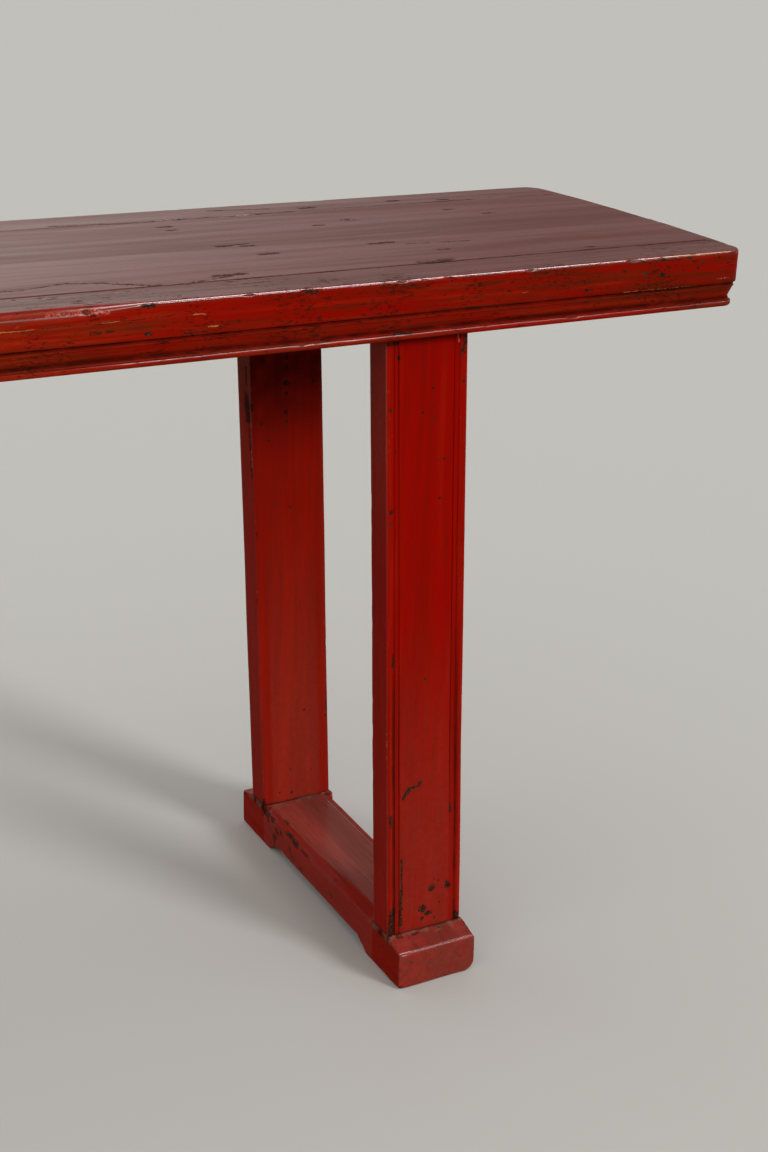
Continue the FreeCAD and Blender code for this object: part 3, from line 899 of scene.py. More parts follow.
@dataclass(frozen=True)
class RedLacquer:
    """The worn red lacquer of one piece, with the marks that the piece has gathered."""

    name: str
    grain: Grain
    marks: tuple[Mark, ...] = ()
    knots: tuple[Knot, ...] = ()
    red: Colour = Colour(160, 6, 0)
    deep_red: Colour = Colour(132, 12, 4)
    ember: Colour = Colour(158, 34, 10)
    faded: Colour = Colour(112, 44, 34)
    glaze_brown: Colour = Colour(86, 28, 8)
    undercoat: Colour = Colour(46, 24, 15)
    rubbed: Colour = Colour(190, 92, 76)
    bare_wood: Colour = Colour(188, 112, 62)
    dirt: Colour = Colour(44, 10, 4)
    dust_grey: Colour = Colour(142, 110, 96)
    pale: Colour = Colour(176, 158, 146)
    grain_scale: float = 60.0
    fleck_share: float = 0.4
    glaze: float = 0.5
    flecks: float = 0.4
    fleck_scale: float = 150.0
    hairlines: float = 0.6
    rubbing: float = 0.5
    bareness: float = 0.45
    grime: float = 0.85
    dust: float = 0.1
    shine: float = 0.02
    edge_shine: float = 0.7
    top_shine: float = 0.9
    fading: float = 0.85
    dullness: float = 0.36
    slot: str = "red_lacquer"

    def material(self) -> bpy.types.Material:
        """Builds the material.

        Returns:
            The material, ready for a mesh that carries the marks of its making.
        """
        graph, material = new_material(self.name)
        at = graph.add("TexCoord").outputs["Object"]
        inputs = {"Vector": at, "Stretch": self.grain.stretch(0.05),
                  "Fleck stretch": self.grain.stretch(self.fleck_share)}
        for title in ("Level", "Arris", "Hollow", "Bite", "Dusty", "Scuffed", "Warm"):
            inputs[title] = graph.add("Attribute", attribute_name=title.lower()).outputs["Fac"]
        shared = {"Vector": at, "Fine drift": graph.drift(at, 230.0, 4.0, 2.6),
                  "Slow drift": graph.drift(at, 28.0, 2.0, 1.0)}
        for tone in Tone:
            inputs[tone.value] = self.gathered(graph, MarkEffect, [
                shared | {"Start": mark.start, "End": mark.end or mark.start, "Width": mark.width,
                          "Ragged": mark.ragged, "Wander": mark.wander}
                for mark in self.marks if mark.tone is tone])
        inputs["Knots"] = self.gathered(graph, KnotEffect, [
            {"Vector": at, "Centre": knot.centre, "Radius": knot.radius, "Squeeze": knot.squeeze}
            for knot in self.knots])
        for title in (*LacquerEffect.values, *LacquerEffect.colours):
            if title not in inputs:
                inputs[title] = getattr(self, title.lower().replace(" ", "_"))
        lacquer = LacquerEffect.place(graph, inputs)
        bump = graph.add("Bump", {"Strength": 0.8, "Distance": 1.0, "Height": lacquer["Height"]}).outputs[0]
        shader = graph.add("BsdfPrincipled", {
            "Base Color": lacquer["Color"], "Roughness": lacquer["Roughness"], "Normal": bump,
            "Coat Weight": lacquer["Coat"], "Coat Roughness": 0.22, "Coat IOR": 1.5,
            "Specular IOR Level": 0.01, "IOR": 1.45,
        })
        graph.add("OutputMaterial", {"Surface": shader.outputs[0]})
        return material

    @staticmethod
    def gathered(graph: Graph, effect: type[Effect], each: list[dict[str, Any]]) -> Any:
        """Places an effect once for each set of inputs, each of which hands its mask on to the next.

        Args:
            graph: The material's graph.
            effect: The effect.
            each: The inputs of each.

        Returns:
            The highest mask, or 0 if there are no inputs.
        """
        mask: Any = 0.0
        for inputs in each:
            mask = effect.place(graph, inputs | {"Before": mask})["Mask"]
        return mask


@dataclass(frozen=True)
class BareWood:
    """Planed softwood that was never lacquered, as on the battens and wedges."""

    name: str
    grain: Grain
    light: Colour = Colour(150, 112, 76)
    dark: Colour = Colour(104, 70, 44)
    stain: Colour = Colour(84, 58, 40)
    slot: str = "bare_wood"

    def material(self) -> bpy.types.Material:
        """Builds the material.

        Returns:
            The material.
        """
        graph, material = new_material(self.name)
        at = graph.add("TexCoord").outputs["Object"]
        grain = GrainEffect.place(graph, {"Vector": at, "Stretch": self.grain.stretch(0.05), "Scale": 90.0})
        colour = graph.mix(graph.step(grain["Streak"], 0.35, 0.65), self.light, self.dark)
        colour = graph.mix(graph.product(graph.step(grain["Fine"], 0.4, 0.8), 0.4), colour, self.dark)
        colour = graph.mix(graph.step(grain["Cloud"], 0.4, 0.8, 0.0, 0.5), colour, self.stain)
        height = graph.product(grain["Fine"], 0.0002)
        bump = graph.add("Bump", {"Strength": 0.8, "Distance": 1.0, "Height": height}).outputs[0]
        rough = graph.math("ADD", 0.62, graph.product(grain["Streak"], 0.2))
        shader = graph.add("BsdfPrincipled", {"Base Color": colour, "Roughness": rough, "Normal": bump,
                                              "Specular IOR Level": 0.3})
        graph.add("OutputMaterial", {"Surface": shader.outputs[0]})
        return material


def dress(piece: bpy.types.Object, finish: RedLacquer | BareWood, *nodes: str) -> None:
    """Gives a piece its finish, lets it ride on the table and stand for its node.

    Args:
        piece: The piece.
        finish: Its finish.
        nodes: The nodes that it stands for.
    """
    material = bpy.data.materials.get(finish.name) or finish.material()
    piece.data.materials.clear()
    piece.data.materials.append(material)
    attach(piece, "root")
    if nodes:
        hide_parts(*nodes)
    log.info("%s: %d faces", piece.name, len(piece.data.polygons))


@dataclass
class TopOutline:
    """The top seen from above: straight long edges, bowed ends and rounded corners."""

    half_length: float
    half_depth: float
    end_bow: float = 0.012
    corner_radius: float = 0.025
    spacing: float = 0.0030
    corner_steps: int = 22
    bow_steps: int = 16

    def bow_radius(self) -> float:
        """The radius of an end: (chord^2 / 4 + rise^2) / (2 rise)."""
        return (self.half_depth ** 2 + self.end_bow ** 2) / (2 * self.end_bow)

    def end_at(self, depth: Array) -> Array:
        """How far out the bowed end is at a distance from the middle line."""
        radius = self.bow_radius()
        return self.half_length - radius + np.sqrt(radius ** 2 - depth ** 2)

    def edge_path(self, face: Face, joint: float) -> tuple[Array, Array]:
        """The outline from one end joint to the other, round both corners of a long edge.

        The corner's centre lies where the corner's circle touches both the long edge and the bow.
        Along both arcs the point is the centre plus the radius times the normal.

        Args:
            face: Which long edge.
            joint: How far the joints are from the middle line.

        Returns:
            The points and the outward normals, each as points by two.
        """
        bow = self.bow_radius()
        bow_middle = self.half_length - bow
        across = self.half_depth - self.corner_radius
        corner_middle = bow_middle + math.sqrt((bow - self.corner_radius) ** 2 - across ** 2)
        turn = math.atan2(across, corner_middle - bow_middle)
        straight = np.linspace(0, corner_middle, round(corner_middle / self.spacing))
        round_corner = np.linspace(-math.pi / 2, -turn, self.corner_steps)[1:]
        along_bow = np.linspace(-turn, -math.asin(joint / bow), self.bow_steps)[1:]
        points = [np.stack([straight, np.full_like(straight, -self.half_depth)], axis=1)]
        normals = [np.broadcast_to([0.0, -1.0], (len(straight), 2))]
        for angles, radius, centre in ((round_corner, self.corner_radius, (corner_middle, -across)),
                                       (along_bow, bow, (bow_middle, 0.0))):
            normal = np.stack([np.cos(angles), np.sin(angles)], axis=1)
            points.append(np.array(centre) + radius * normal)
            normals.append(normal)
        right = np.concatenate(points)
        facing = np.concatenate(normals)
        mirror = np.array([-1.0, 1.0])
        places = np.concatenate([right[:0:-1] * mirror, right])
        facings = np.concatenate([facing[:0:-1] * mirror, facing])
        flip = np.array([1.0, -float(face.value)])
        return places * flip, facings * flip


@dataclass
class Moulding:
    """The moulded edge of the top, from the arris down to the bead, as insets and levels."""

    top: float
    band_foot: float
    underside: float
    arris_radius: float = 0.0028
    band_radius: float = 0.0055
    quirk_inset: float = 0.0028
    quirk_height: float = 0.0042
    slope_top_inset: float = 0.0022
    slope_foot_inset: float = 0.0086
    fillet_inset: float = 0.0072
    fillet_height: float = 0.003
    bead_inset: float = 0.0038
    bead_height: float = 0.008

    def band(self, arris_radius: Any) -> list[tuple[tuple[Any, Any], Any, Corner, int]]:
        """The corners of the flat band.

        Args:
            arris_radius: The radius of its top arris, or one for each ring.

        Returns:
            The corners, each as place, radius, kind and steps after it.
        """
        return [
            ((0.0, self.top), arris_radius, Corner.ARRIS, 14),
            ((0.0, self.band_foot), self.band_radius, Corner.PLAIN, 1),
        ]

    def foot(self) -> list[tuple[tuple[Any, Any], Any, Corner, int]]:
        """The corners of the quirk, the slope, the fillet and the bead under the band.

        Returns:
            The corners, each as place, radius, kind and steps after it.
        """
        slope_top = self.band_foot - self.quirk_height
        bead_top = self.underside + self.bead_height
        slope_foot = bead_top + self.fillet_height
        return [
            ((self.quirk_inset, self.band_foot), 0.0012, Corner.HOLLOW, 2),
            ((self.quirk_inset, slope_top), 0.0012, Corner.PLAIN, 1),
            ((self.slope_top_inset, slope_top), 0.0022, Corner.PLAIN, 6),
            ((self.slope_foot_inset, slope_foot), 0.0008, Corner.HOLLOW, 1),
            ((self.fillet_inset, slope_foot), 0.0012, Corner.PLAIN, 2),
            ((self.fillet_inset, bead_top), 0.0005, Corner.PLAIN, 2),
            ((self.bead_inset, bead_top), 0.0016, Corner.ARRIS, 2),
            ((self.bead_inset, self.underside), 0.0034, Corner.PLAIN, 2),
        ]


@dataclass
class TableTop:
    """The top: two moulded edge rails, the wide board between them and a rail under each of its ends."""

    outline: TopOutline
    moulding: Moulding
    joint: float
    joint_radius: float = 0.0002
    joint_dirt: float = 0.0006
    joint_band: float = 0.004
    hidden_radius: float = 0.0004
    back_radius: float = 0.0015
    moulding_depth: float = 0.014
    board_spacing: float = 0.0045
    rail_spacing: float = 0.0035
    worn_from: float = -0.15
    worn_to: float = 0.20
    worn_fade: float = 0.13
    worn_radius: float = 0.008
    # How warm the red is under the band, and on the front: in full up to one X, and fading to another
    under_warmth: float = 0.3
    sun_warmth: float = 0.7
    sun_full: float = 0.10
    sun_end: float = 0.50
    # The wave runs on from piece to piece, so that they stay flush at their joints
    ageing: Ageing = Ageing(wave=0.0010, wave_cell=(0.25, 0.06, 0.04), rub=0.0006, bite=0.0008,
                            bite_cell=(0.015, 0.012, 0.012), bite_from=0.72, seed=11)

    @classmethod
    def from_frame(cls) -> "TableTop":
        """Reads the top's size and place from the frame.

        Returns:
            The top.
        """
        rail_low, rail_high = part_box("front_edge_rail")
        board_low, board_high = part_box("centre_board")
        return cls(
            outline=TopOutline(half_length=board_high.x, half_depth=-rail_low.y),
            moulding=Moulding(top=rail_high.z, band_foot=board_low.z, underside=rail_low.z),
            joint=-rail_high.y,
        )

    def edge_rail(self, face: Face, marks: Sequence[Mark]) -> bpy.types.Object:
        """Carries the moulding along the outline, with the rail's flat faces behind it.

        A point of the section lies so far in from the outline, along the outline's normal, as the
        moulding is deep. Past that depth it goes straight to the joint with the board. Hands have worn
        the top arris of the front rail to a wider round over one stretch.

        Args:
            face: Which rail.
            marks: The marks on it.

        Returns:
            The rail's mesh.
        """
        shape = self.moulding
        depth = self.outline.half_depth - self.joint
        place, normal = self.outline.edge_path(face, self.joint)
        worn = smooth_step(self.worn_from - self.worn_fade, self.worn_from, place[:, 0])
        worn = worn * (1 - smooth_step(self.worn_to, self.worn_to + self.worn_fade, place[:, 0]))
        arris_radius = shape.arris_radius + self.worn_radius * worn * (face is Face.FRONT)
        # The moulding's hollows darken over a wide band: dirt, and painted shade in the quirk and at the foot
        # of the slope
        section = Section(shape.band(arris_radius) + shape.foot() + [
            ((depth, shape.underside), self.joint_radius, Corner.PLAIN, 3),
            ((depth, shape.top), self.joint_radius, Corner.PLAIN, 18),
        ], arris_width=0.0011, hollow_width=0.0028)
        flat, near = section.rings()
        inset = flat[..., 0]
        moulded = np.minimum(inset, self.moulding_depth)
        points = np.empty(flat.shape[:2] + (3,))
        points[..., 0] = place[:, :1] - normal[:, :1] * moulded
        points[..., 1] = place[:, 1:] - normal[:, 1:] * moulded
        points[..., 2] = flat[..., 1]
        joint = self.joint * face.value
        share = np.clip((inset - self.moulding_depth) / (depth - self.moulding_depth), 0, 1)
        points[..., 1] += (joint - points[..., 1]) * share
        inner = np.maximum if face is Face.REAR else np.minimum
        points[..., 1] = inner(points[..., 1], joint)
        near["scuffed"] = near["arris"] * worn[:, None] * (face is Face.FRONT)
        at_joint = (inset > depth - self.joint_band) & (flat[..., 1] > shape.band_foot)
        near["level"] = np.maximum(self.level_share(flat), at_joint)
        dirt = at_joint * np.exp(-((depth - inset) / self.joint_dirt) ** 2) * self.joint_share(points)
        near["hollow"] = np.maximum(near["hollow"], dirt)
        under_band = smooth_step(0.0, 0.003, shape.band_foot - flat[..., 1])
        sunned = 1 - smooth_step(self.sun_full, self.sun_end, points[..., 0])
        warmth = np.maximum(self.under_warmth * under_band, self.sun_warmth * sunned * (face is Face.FRONT))
        near["warm"] = warmth * (inset < self.moulding_depth)
        loft = Loft(points, near)
        loft.age(self.ageing, marks)
        loft.points[..., 1] = inner(loft.points[..., 1], joint)
        return loft.mesh(f"{face.name.lower()}_edge_rail_finished")

    def board(self, marks: Sequence[Mark]) -> bpy.types.Object:
        """Makes the wide board from rings across it, each a section along the table.

        Args:
            marks: The marks on it.

        Returns:
            The board's mesh.
        """
        shape = self.moulding
        depth = self.row(self.board_spacing)
        end = self.outline.end_at(depth)
        reach = shape.quirk_inset
        section = Section([
            ((-end, shape.top), shape.arris_radius, Corner.ARRIS, 12),
            ((-end, shape.band_foot), shape.band_radius, Corner.SOFT_ARRIS, 1),
            ((-end + reach, shape.band_foot), self.hidden_radius, Corner.PLAIN, 60),
            ((end - reach, shape.band_foot), self.hidden_radius, Corner.PLAIN, 1),
            ((end, shape.band_foot), shape.band_radius, Corner.SOFT_ARRIS, 12),
            ((end, shape.top), shape.arris_radius, Corner.ARRIS, 460),
        ])
        flat, near = section.rings()
        near["level"] = self.level_share(flat)
        points = self.across(flat, depth)
        middle = (shape.top + shape.band_foot) / 2
        on_top = points[..., 2] > middle
        dirt = np.exp(-((self.joint - np.abs(depth)) / self.joint_dirt) ** 2)[:, None]
        near["hollow"] = np.maximum(near["hollow"], dirt * on_top * self.joint_share(points))
        edge = np.exp(-((self.joint - np.abs(depth)) / self.joint_radius) ** 2)[:, None]
        points[..., 2] -= edge * self.joint_radius * np.sign(points[..., 2] - middle)
        loft = Loft(points, near)
        loft.age(self.ageing, marks)
        return loft.mesh("centre_board_finished")

    def end_rail(self, side: Side) -> bpy.types.Object:
        """Makes a short rail under an end of the board, with the foot of the moulding on its face.

        Args:
            side: Which end.

        Returns:
            The rail's mesh.
        """
        shape = self.moulding
        depth = self.row(self.rail_spacing)
        end = self.outline.end_at(depth)
        low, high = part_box(f"{side.name.lower()}_end_rail")
        inner = low.x if side is Side.RIGHT else -high.x
        corners = [((end - inset, level), radius, kind, steps)
                   for (inset, level), radius, kind, steps in shape.foot()]
        corners += [((inner, shape.underside), self.back_radius, Corner.ARRIS, 8),
                    ((inner, shape.band_foot), self.hidden_radius, Corner.PLAIN, 8)]
        flat, near = Section(corners).rings()
        flat[..., 0] *= side.value
        loft = Loft(self.across(flat, depth), near)
        loft.age(self.ageing)
        return loft.mesh(f"{side.name.lower()}_end_rail_finished")

    def level_share(self, flat: Array) -> Array:
        """Where a section is the level top: 1 at its height, and 0 from a sixth of a millimetre below."""
        return 1 - smooth_step(0.00002, 0.00016, self.moulding.top - flat[..., 1])

    @staticmethod
    def joint_share(points: Array) -> Array:
        """How much dirt a joint holds along its length: slow noise from 0.1 to 0.9."""
        return 0.1 + 0.8 * smooth_step(0.35, 0.75, value_noise(points, (0.06, 1.0, 1.0), 23))

    def row(self, spacing: float) -> Array:
        """Places of rings from the front joint to the rear one, closer at the joints.

        Args:
            spacing: How far apart the rings are.

        Returns:
            How far each ring is from the middle line.
        """
        even = np.linspace(-self.joint, self.joint, round(2 * self.joint / spacing))
        edges = self.joint - self.joint_radius * np.array([0.4, 1.0, 2.2])
        return np.unique(np.concatenate([even, edges, -edges]).round(6))

    @staticmethod
    def across(flat: Array, depth: Array) -> Array:
        """Stands each ring of a section at its place across the table.

        Args:
            flat: The rings, as rings by points by two.
            depth: Where each ring stands.

        Returns:
            The rings, as rings by points by three.
        """
        points = np.empty(flat.shape[:2] + (3,))
        points[..., 0] = flat[..., 0]
        points[..., 1] = depth[:, None]
        points[..., 2] = flat[..., 1]
        return points

    def build(self, finishes: "Finishes") -> None:
        """Makes and dresses all the pieces of the top.

        Args:
            finishes: The finishes of the table.
        """
        for face in Face:
            finish = finishes.edge_rail(face)
            dress(self.edge_rail(face, finish.marks), finish, f"{face.name.lower()}_edge_rail")
        for side in Side:
            dress(self.end_rail(side), finishes.end_rail(), f"{side.name.lower()}_end_rail")
        finish = finishes.board()
        dress(self.board(finish.marks), finish, "centre_board")
        for name in ("left", "mid_left", "centre", "mid_right", "right"):
            dress(bpy.data.objects[f"batten_{name}"], finishes.batten())


@dataclass
class Leg:
    """A board leg that leans along the table, beaded and grooved along both edges of its outer face."""

    side: Side
    face: Face
    width: float = 0.107
    bead_width: float = 0.0095
    groove_width: float = 0.0013
    groove_depth: float = 0.0014
    margin_width: float = 0.008
    margin_depth: float = 0.0006
    margin_radius: float = 0.003
    back_radius: float = 0.0022
    edge_radius: float = 0.0010
    groove_radius: float = 0.0003
    groove_edge_radius: float = 0.0006
    arris_width: float = 0.0014
    hollow_width: float = 0.0005
    # How much of the depth of groove and margin the lacquer leaves open in the leg's upper part
    open_share: float = 0.12
    spacing: float = 0.003
    clean_above: float = 0.30
    clean_fade: float = 0.25
    clean_share: float = 0.08
    # How far dirt reaches up from the foot rail and down from the top, and how strong it is, with the painted
    # shade of a rear leg
    foot_dirt: float = 0.0022
    head_dirt: float = 0.007
    head_share: float = 0.8
    dirt_and_shade_share: float = 0.85
    # Where a rear leg is painted darker under the top: painted shade of the top, laid on as dirt
    painted_shade_from: float = 0.58
    painted_shade_to: float = 0.72
    bead_warmth: float = 0.6
    # The sides are warmer orange: their own tone, and painted light that brightens them
    side_warmth_and_light: float = 0.6
    # Grey on the upper part of the sides, rising with height: painted sheen, a reflection on the lacquer
    side_sheen: float = 0.22
    side_sheen_full: float = 0.8
    # What counts as the outer face and as a side, as depths from them
    face_band: float = 0.004
    side_band: float = 0.0015
    # Dust grey painted on the lower leg, strongest in the middle of the outer face: painted reflection of the
    # floor
    floor_reflection: float = 0.13
    reflection_from: float = 0.55
    floor_reflection_to: float = 0.15

    def build(self, foot_top: float, head: float, marks: Sequence[Mark]) -> bpy.types.Object:
        """Stands the section on the foot and carries it up along the lean.

        Args:
            foot_top: The level of the top of the foot rail.
            head: The level of the underside of the edge rail.
            marks: The marks on the leg.

        Returns:
            The leg's mesh.
        """
        name = f"leg_{self.face.name.lower()}_{self.side.name.lower()}"
        low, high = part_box(name)
        level = np.linspace(foot_top, head, round((head - foot_top) / self.spacing))
        clean = smooth_step(self.clean_above, self.clean_above + self.clean_fade, level)
        half = (high.y - low.y) / 2
        section = Section(self.corners(half, 1 - (1 - self.open_share) * clean), self.arris_width,
                          self.hollow_width)
        flat, near = section.rings()
        run = (high.x - low.x) - self.width
        inner = low.x if self.side is Side.RIGHT else high.x
        middle_top = inner + self.width / 2 * self.side.value
        share = (head - level) / (head - foot_top)
        points = np.empty(flat.shape[:2] + (3,))
        points[..., 0] = middle_top + run * self.side.value * share[:, None] + flat[..., 0]
        points[..., 1] = (low.y + high.y) / 2 + flat[..., 1] * self.face.value
        points[..., 2] = level[:, None]
        dirty = 1 - (1 - self.clean_share) * clean
        near["hollow"] *= dirty[:, None]
        joints = np.exp(-((level - foot_top) / self.foot_dirt) ** 2)
        joints += self.head_share * np.exp(-((head - level) / self.head_dirt) ** 2)
        # On a rear leg the upper part is darkened too: painted shade from the top, added to the joint dirt
        if self.face is Face.REAR:
            joints += smooth_step(self.painted_shade_from, self.painted_shade_to, level)
        near["hollow"] = np.clip(near["hollow"] + self.dirt_and_shade_share * joints[:, None], 0, 1)
        outside = flat[..., 1] > half - self.face_band
        on_bead = np.abs(flat[..., 0]) > self.width / 2 - self.bead_width
        on_side = np.abs(flat[..., 0]) > self.width / 2 - self.side_band
        near["warm"] = np.where(outside, self.bead_warmth * on_bead, self.side_warmth_and_light * on_side)
        inside = 1 - smooth_step(0.6, 0.75, np.abs(flat[..., 0]) / (self.width / 2))
        # The lower leg's dust grey is painted reflection of the floor
        floor_reflection_share = 1 - smooth_step(self.floor_reflection_to, self.reflection_from, level)
        near["dusty"] = self.floor_reflection * floor_reflection_share[:, None] * (0.3 + 0.7 * inside)
        # Painted sheen on the upper sides, laid on as dust grey
        shining = smooth_step(self.reflection_from, self.side_sheen_full, level)[:, None]
        near["dusty"] += self.side_sheen * on_side * shining
        loft = Loft(points, near)
        seed = 41 + 3 * self.side.value + 7 * self.face.value
        loft.age(Ageing(wave=0.0010, wave_cell=(0.05, 0.05, 0.16), rub=0.0005, bite=0.0006,
                        bite_cell=(0.012, 0.012, 0.02), seed=seed), marks)
        return loft.mesh(f"{name}_finished")

    def corners(self, half: float, depth_share: Array) -> list[tuple[tuple[Any, Any], Any, Corner, int]]:
        """The corners of the section, with the outer face at plus half.

        The bead is an arc over its width that rises by the groove's depth, written as one corner at the
        point where the tangents of its two ends meet.

        Args:
            half: Half the leg's thickness.
            depth_share: How much of the full depth groove and margin have, for each ring.

        Returns:
            The corners, each with its radius, kind and steps.
        """
        edge = self.width / 2
        depth = self.groove_depth * depth_share
        bed = half - depth
        chord = self.bead_width / 2
        radius = (chord ** 2 + depth ** 2) / (2 * depth)
        apex = bed + radius / np.cos(np.arcsin(chord / radius)) - (radius - depth)
        bead_end = edge - self.bead_width
        groove_end = bead_end - self.groove_width
        field_end = groove_end - self.margin_width
        margin = half - self.margin_depth * depth_share
        right = [
            ((edge, -half), self.back_radius, Corner.ARRIS, 12),
            ((edge, bed), self.edge_radius, Corner.ARRIS, 1),
            ((edge - chord, apex), radius, Corner.PLAIN, 1),
            ((bead_end, bed), self.groove_radius, Corner.HOLLOW, 2),
            ((groove_end, bed), self.groove_radius, Corner.HOLLOW, 1),
            ((groove_end, margin), self.groove_edge_radius, Corner.PLAIN, 3),
            ((field_end, margin), self.margin_radius, Corner.PLAIN, 1),
            ((field_end + self.margin_radius, half), self.margin_radius, Corner.PLAIN, 18),
        ]
        steps = [corner[3] for corner in right][-2::-1] + [18]
        left = [((-across, up), radius, kind, step)
                for ((across, up), radius, kind, _), step in zip(reversed(right), steps)]
        return right + left


@dataclass
class FootRail:
    """A foot rail from front to back, arched underneath and bevelled on top between the legs."""

    side: Side
    leg_back: float
    leg_face: float
    end_drop: float = 0.009
    pad_length: float = 0.092
    arch_height: float = 0.0145
    arch_slope: float = 0.025
    outer_bevel: tuple[float, float] = (0.020, 0.013)
    sole_radius: float = 0.014
    inner_sole_radius: float = 0.0025
    outer_radius: float = 0.002
    bevel_top_radius: float = 0.0008
    bevel_foot_radius: float = 0.0016
    end_radius: float = 0.0022
    arris: float = 0.0012
    outer_arris: float = 0.0034
    bevel_fading: float = 0.25
    end_fading_for_painted_light: float = 0.4
    end_haze: float = 0.18
    inner_warmth: float = 0.45
    # How much of the inner bevel's arris shows as rubbed and shiny, and how far in from the side it lies
    edge_share: float = 0.25
    edge_reach: float = 0.03
    # The trace of a leg: a rim of dust at a distance, and patches of it that fade further out
    rim_distance: float = 0.0028
    rim_width: float = 0.0012
    patch_reach: float = 0.014
    dirt_reach: float = 0.0013
    spacing: float = 0.0026
    # How wide the inner bevel is and how far it comes down, at shares of the way from front to rear leg
    width_shares: tuple[float, ...] = (0.0, 0.155, 0.38, 0.54, 1.0)
    widths: tuple[float, ...] = (0.022, 0.022, 0.0186, 0.014, 0.010)
    drop_shares: tuple[float, ...] = (0.0, 0.14, 0.25, 0.35, 0.44, 0.56, 0.63, 0.69, 0.8, 0.9, 1.0)
    drops: tuple[float, ...] = (0.0052, 0.0052, 0.0062, 0.0084, 0.0112, 0.0092, 0.0080, 0.0050, 0.0036,
                                0.0044, 0.0098)

    def build(self, marks: Sequence[Mark]) -> bpy.types.Object:
        """Carries the section from the front end to the rear end.

        Args:
            marks: The marks on it.

        Returns:
            The foot rail's mesh.
        """
        low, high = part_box(f"foot_rail_{self.side.name.lower()}")
        inner, outer = sorted((abs(low.x), abs(high.x)))
        depth = self.rows(high.y)
        level = np.interp(np.abs(depth), [0, self.leg_face, high.y], [high.z, high.z, high.z - self.end_drop])
        arch_foot = high.y - self.pad_length
        sole = self.arch_height * np.clip((arch_foot - np.abs(depth)) / self.arch_slope, 0, 1)
        between = 1 - smooth_step(self.leg_back - self.arris, self.leg_back, np.abs(depth))
        share = (depth + self.leg_back) / (2 * self.leg_back)
        inner_drop = self.arris + (np.interp(share, self.drop_shares, self.drops) - self.arris) * between
        inner_width = self.arris + (np.interp(share, self.width_shares, self.widths) - self.arris) * between
        outer_width, outer_drop = (self.outer_arris + (value - self.outer_arris) * between
                                   for value in self.outer_bevel)
        tuck = self.end_radius - np.sqrt(np.maximum(
            self.end_radius ** 2 - np.maximum(np.abs(depth) - high.y + self.end_radius, 0) ** 2, 0))
        near, far, floor, roof = inner + tuck, outer - tuck, sole + tuck, level - tuck
        section = Section([
            ((near, floor), self.inner_sole_radius, Corner.ARRIS, 20),
            ((far, floor), self.sole_radius, Corner.ARRIS, 10),
            ((far, roof - outer_drop), self.outer_radius, Corner.ARRIS, 6),
            ((far - outer_width, roof), self.outer_radius, Corner.SOFT_ARRIS, 18),
            ((near + inner_width, roof), self.bevel_top_radius, Corner.PLAIN, 6),
            ((near, roof - inner_drop), self.bevel_foot_radius, Corner.ARRIS, 12),
        ], arris_width=0.0018)
        flat, nearness = section.rings()
        inward = flat[..., 0] - inner
        bevelled = between[:, None] * (inward < inner_width[:, None] - 0.0004)
        # The top fades paler between the legs than at its ends: painted light that makes up for the shade of
        # the legs
        level_with_painted_light = (self.end_fading_for_painted_light + (1 - self.end_fading_for_painted_light) * between[:, None])
        level_with_painted_light = level_with_painted_light * (1 - smooth_step(0.0003, 0.0015, roof[:, None] - flat[..., 1]))
        nearness["level"] = np.where(bevelled > 0.5, self.bevel_fading, level_with_painted_light)
        nearness["warm"] = self.inner_warmth * np.exp(-np.maximum(inward, 0) / 0.001)
        nearness["warm"] *= flat[..., 1] < high.z - 0.012
        flat[..., 0] *= self.side.value
        points = TableTop.across(flat, depth)
        end = np.exp(-((high.y - np.abs(depth)) / 0.0015) ** 2)[:, None]
        nearness["arris"] = np.maximum(nearness["arris"], end * (points[..., 2] > high.z * 0.6))
        nearness |= self.leg_traces(points, inner, high.z)
        loft = Loft(*self.capped(points, nearness))
        at_end = smooth_step(high.y - 0.003, high.y - 0.0005, np.abs(loft.points[..., 1]))
        loft.marks["dusty"] = np.maximum(loft.marks["dusty"], self.end_haze * at_end)
        loft.age(Ageing(wave=0.0012, wave_cell=(0.05, 0.06, 0.04), rub=0.0009, bite=0.002,
                        bite_cell=(0.014, 0.018, 0.014), bite_from=0.58, seed=61 + self.side.value), marks)
        from_middle = np.abs(loft.points)
        inner_edge = (from_middle[..., 0] < inner + self.edge_reach) & (from_middle[..., 1] < self.leg_face)
        loft.marks["arris"] = np.where(inner_edge, self.edge_share, 1.0) * loft.marks["arris"]
        return loft.mesh(f"foot_rail_{self.side.name.lower()}_finished")

    def rows(self, end: float) -> Array:
        """Places of rings along the rail, closer at its rounded ends and where the bevels stop.

        Args:
            end: How far the ends are from the middle.

        Returns:
            The places, from the front to the rear.
        """
        even = np.linspace(0, end - self.end_radius, round(end / self.spacing))
        turned = end - self.end_radius * (1 - np.sin(np.linspace(0, math.pi / 2, 6)))
        stops = self.leg_back + self.arris * np.array([-1.0, -0.5, 0.0])
        half = np.unique(np.concatenate([even, turned, stops, [self.leg_face]]).round(6))
        return np.concatenate([-half[:0:-1], half])

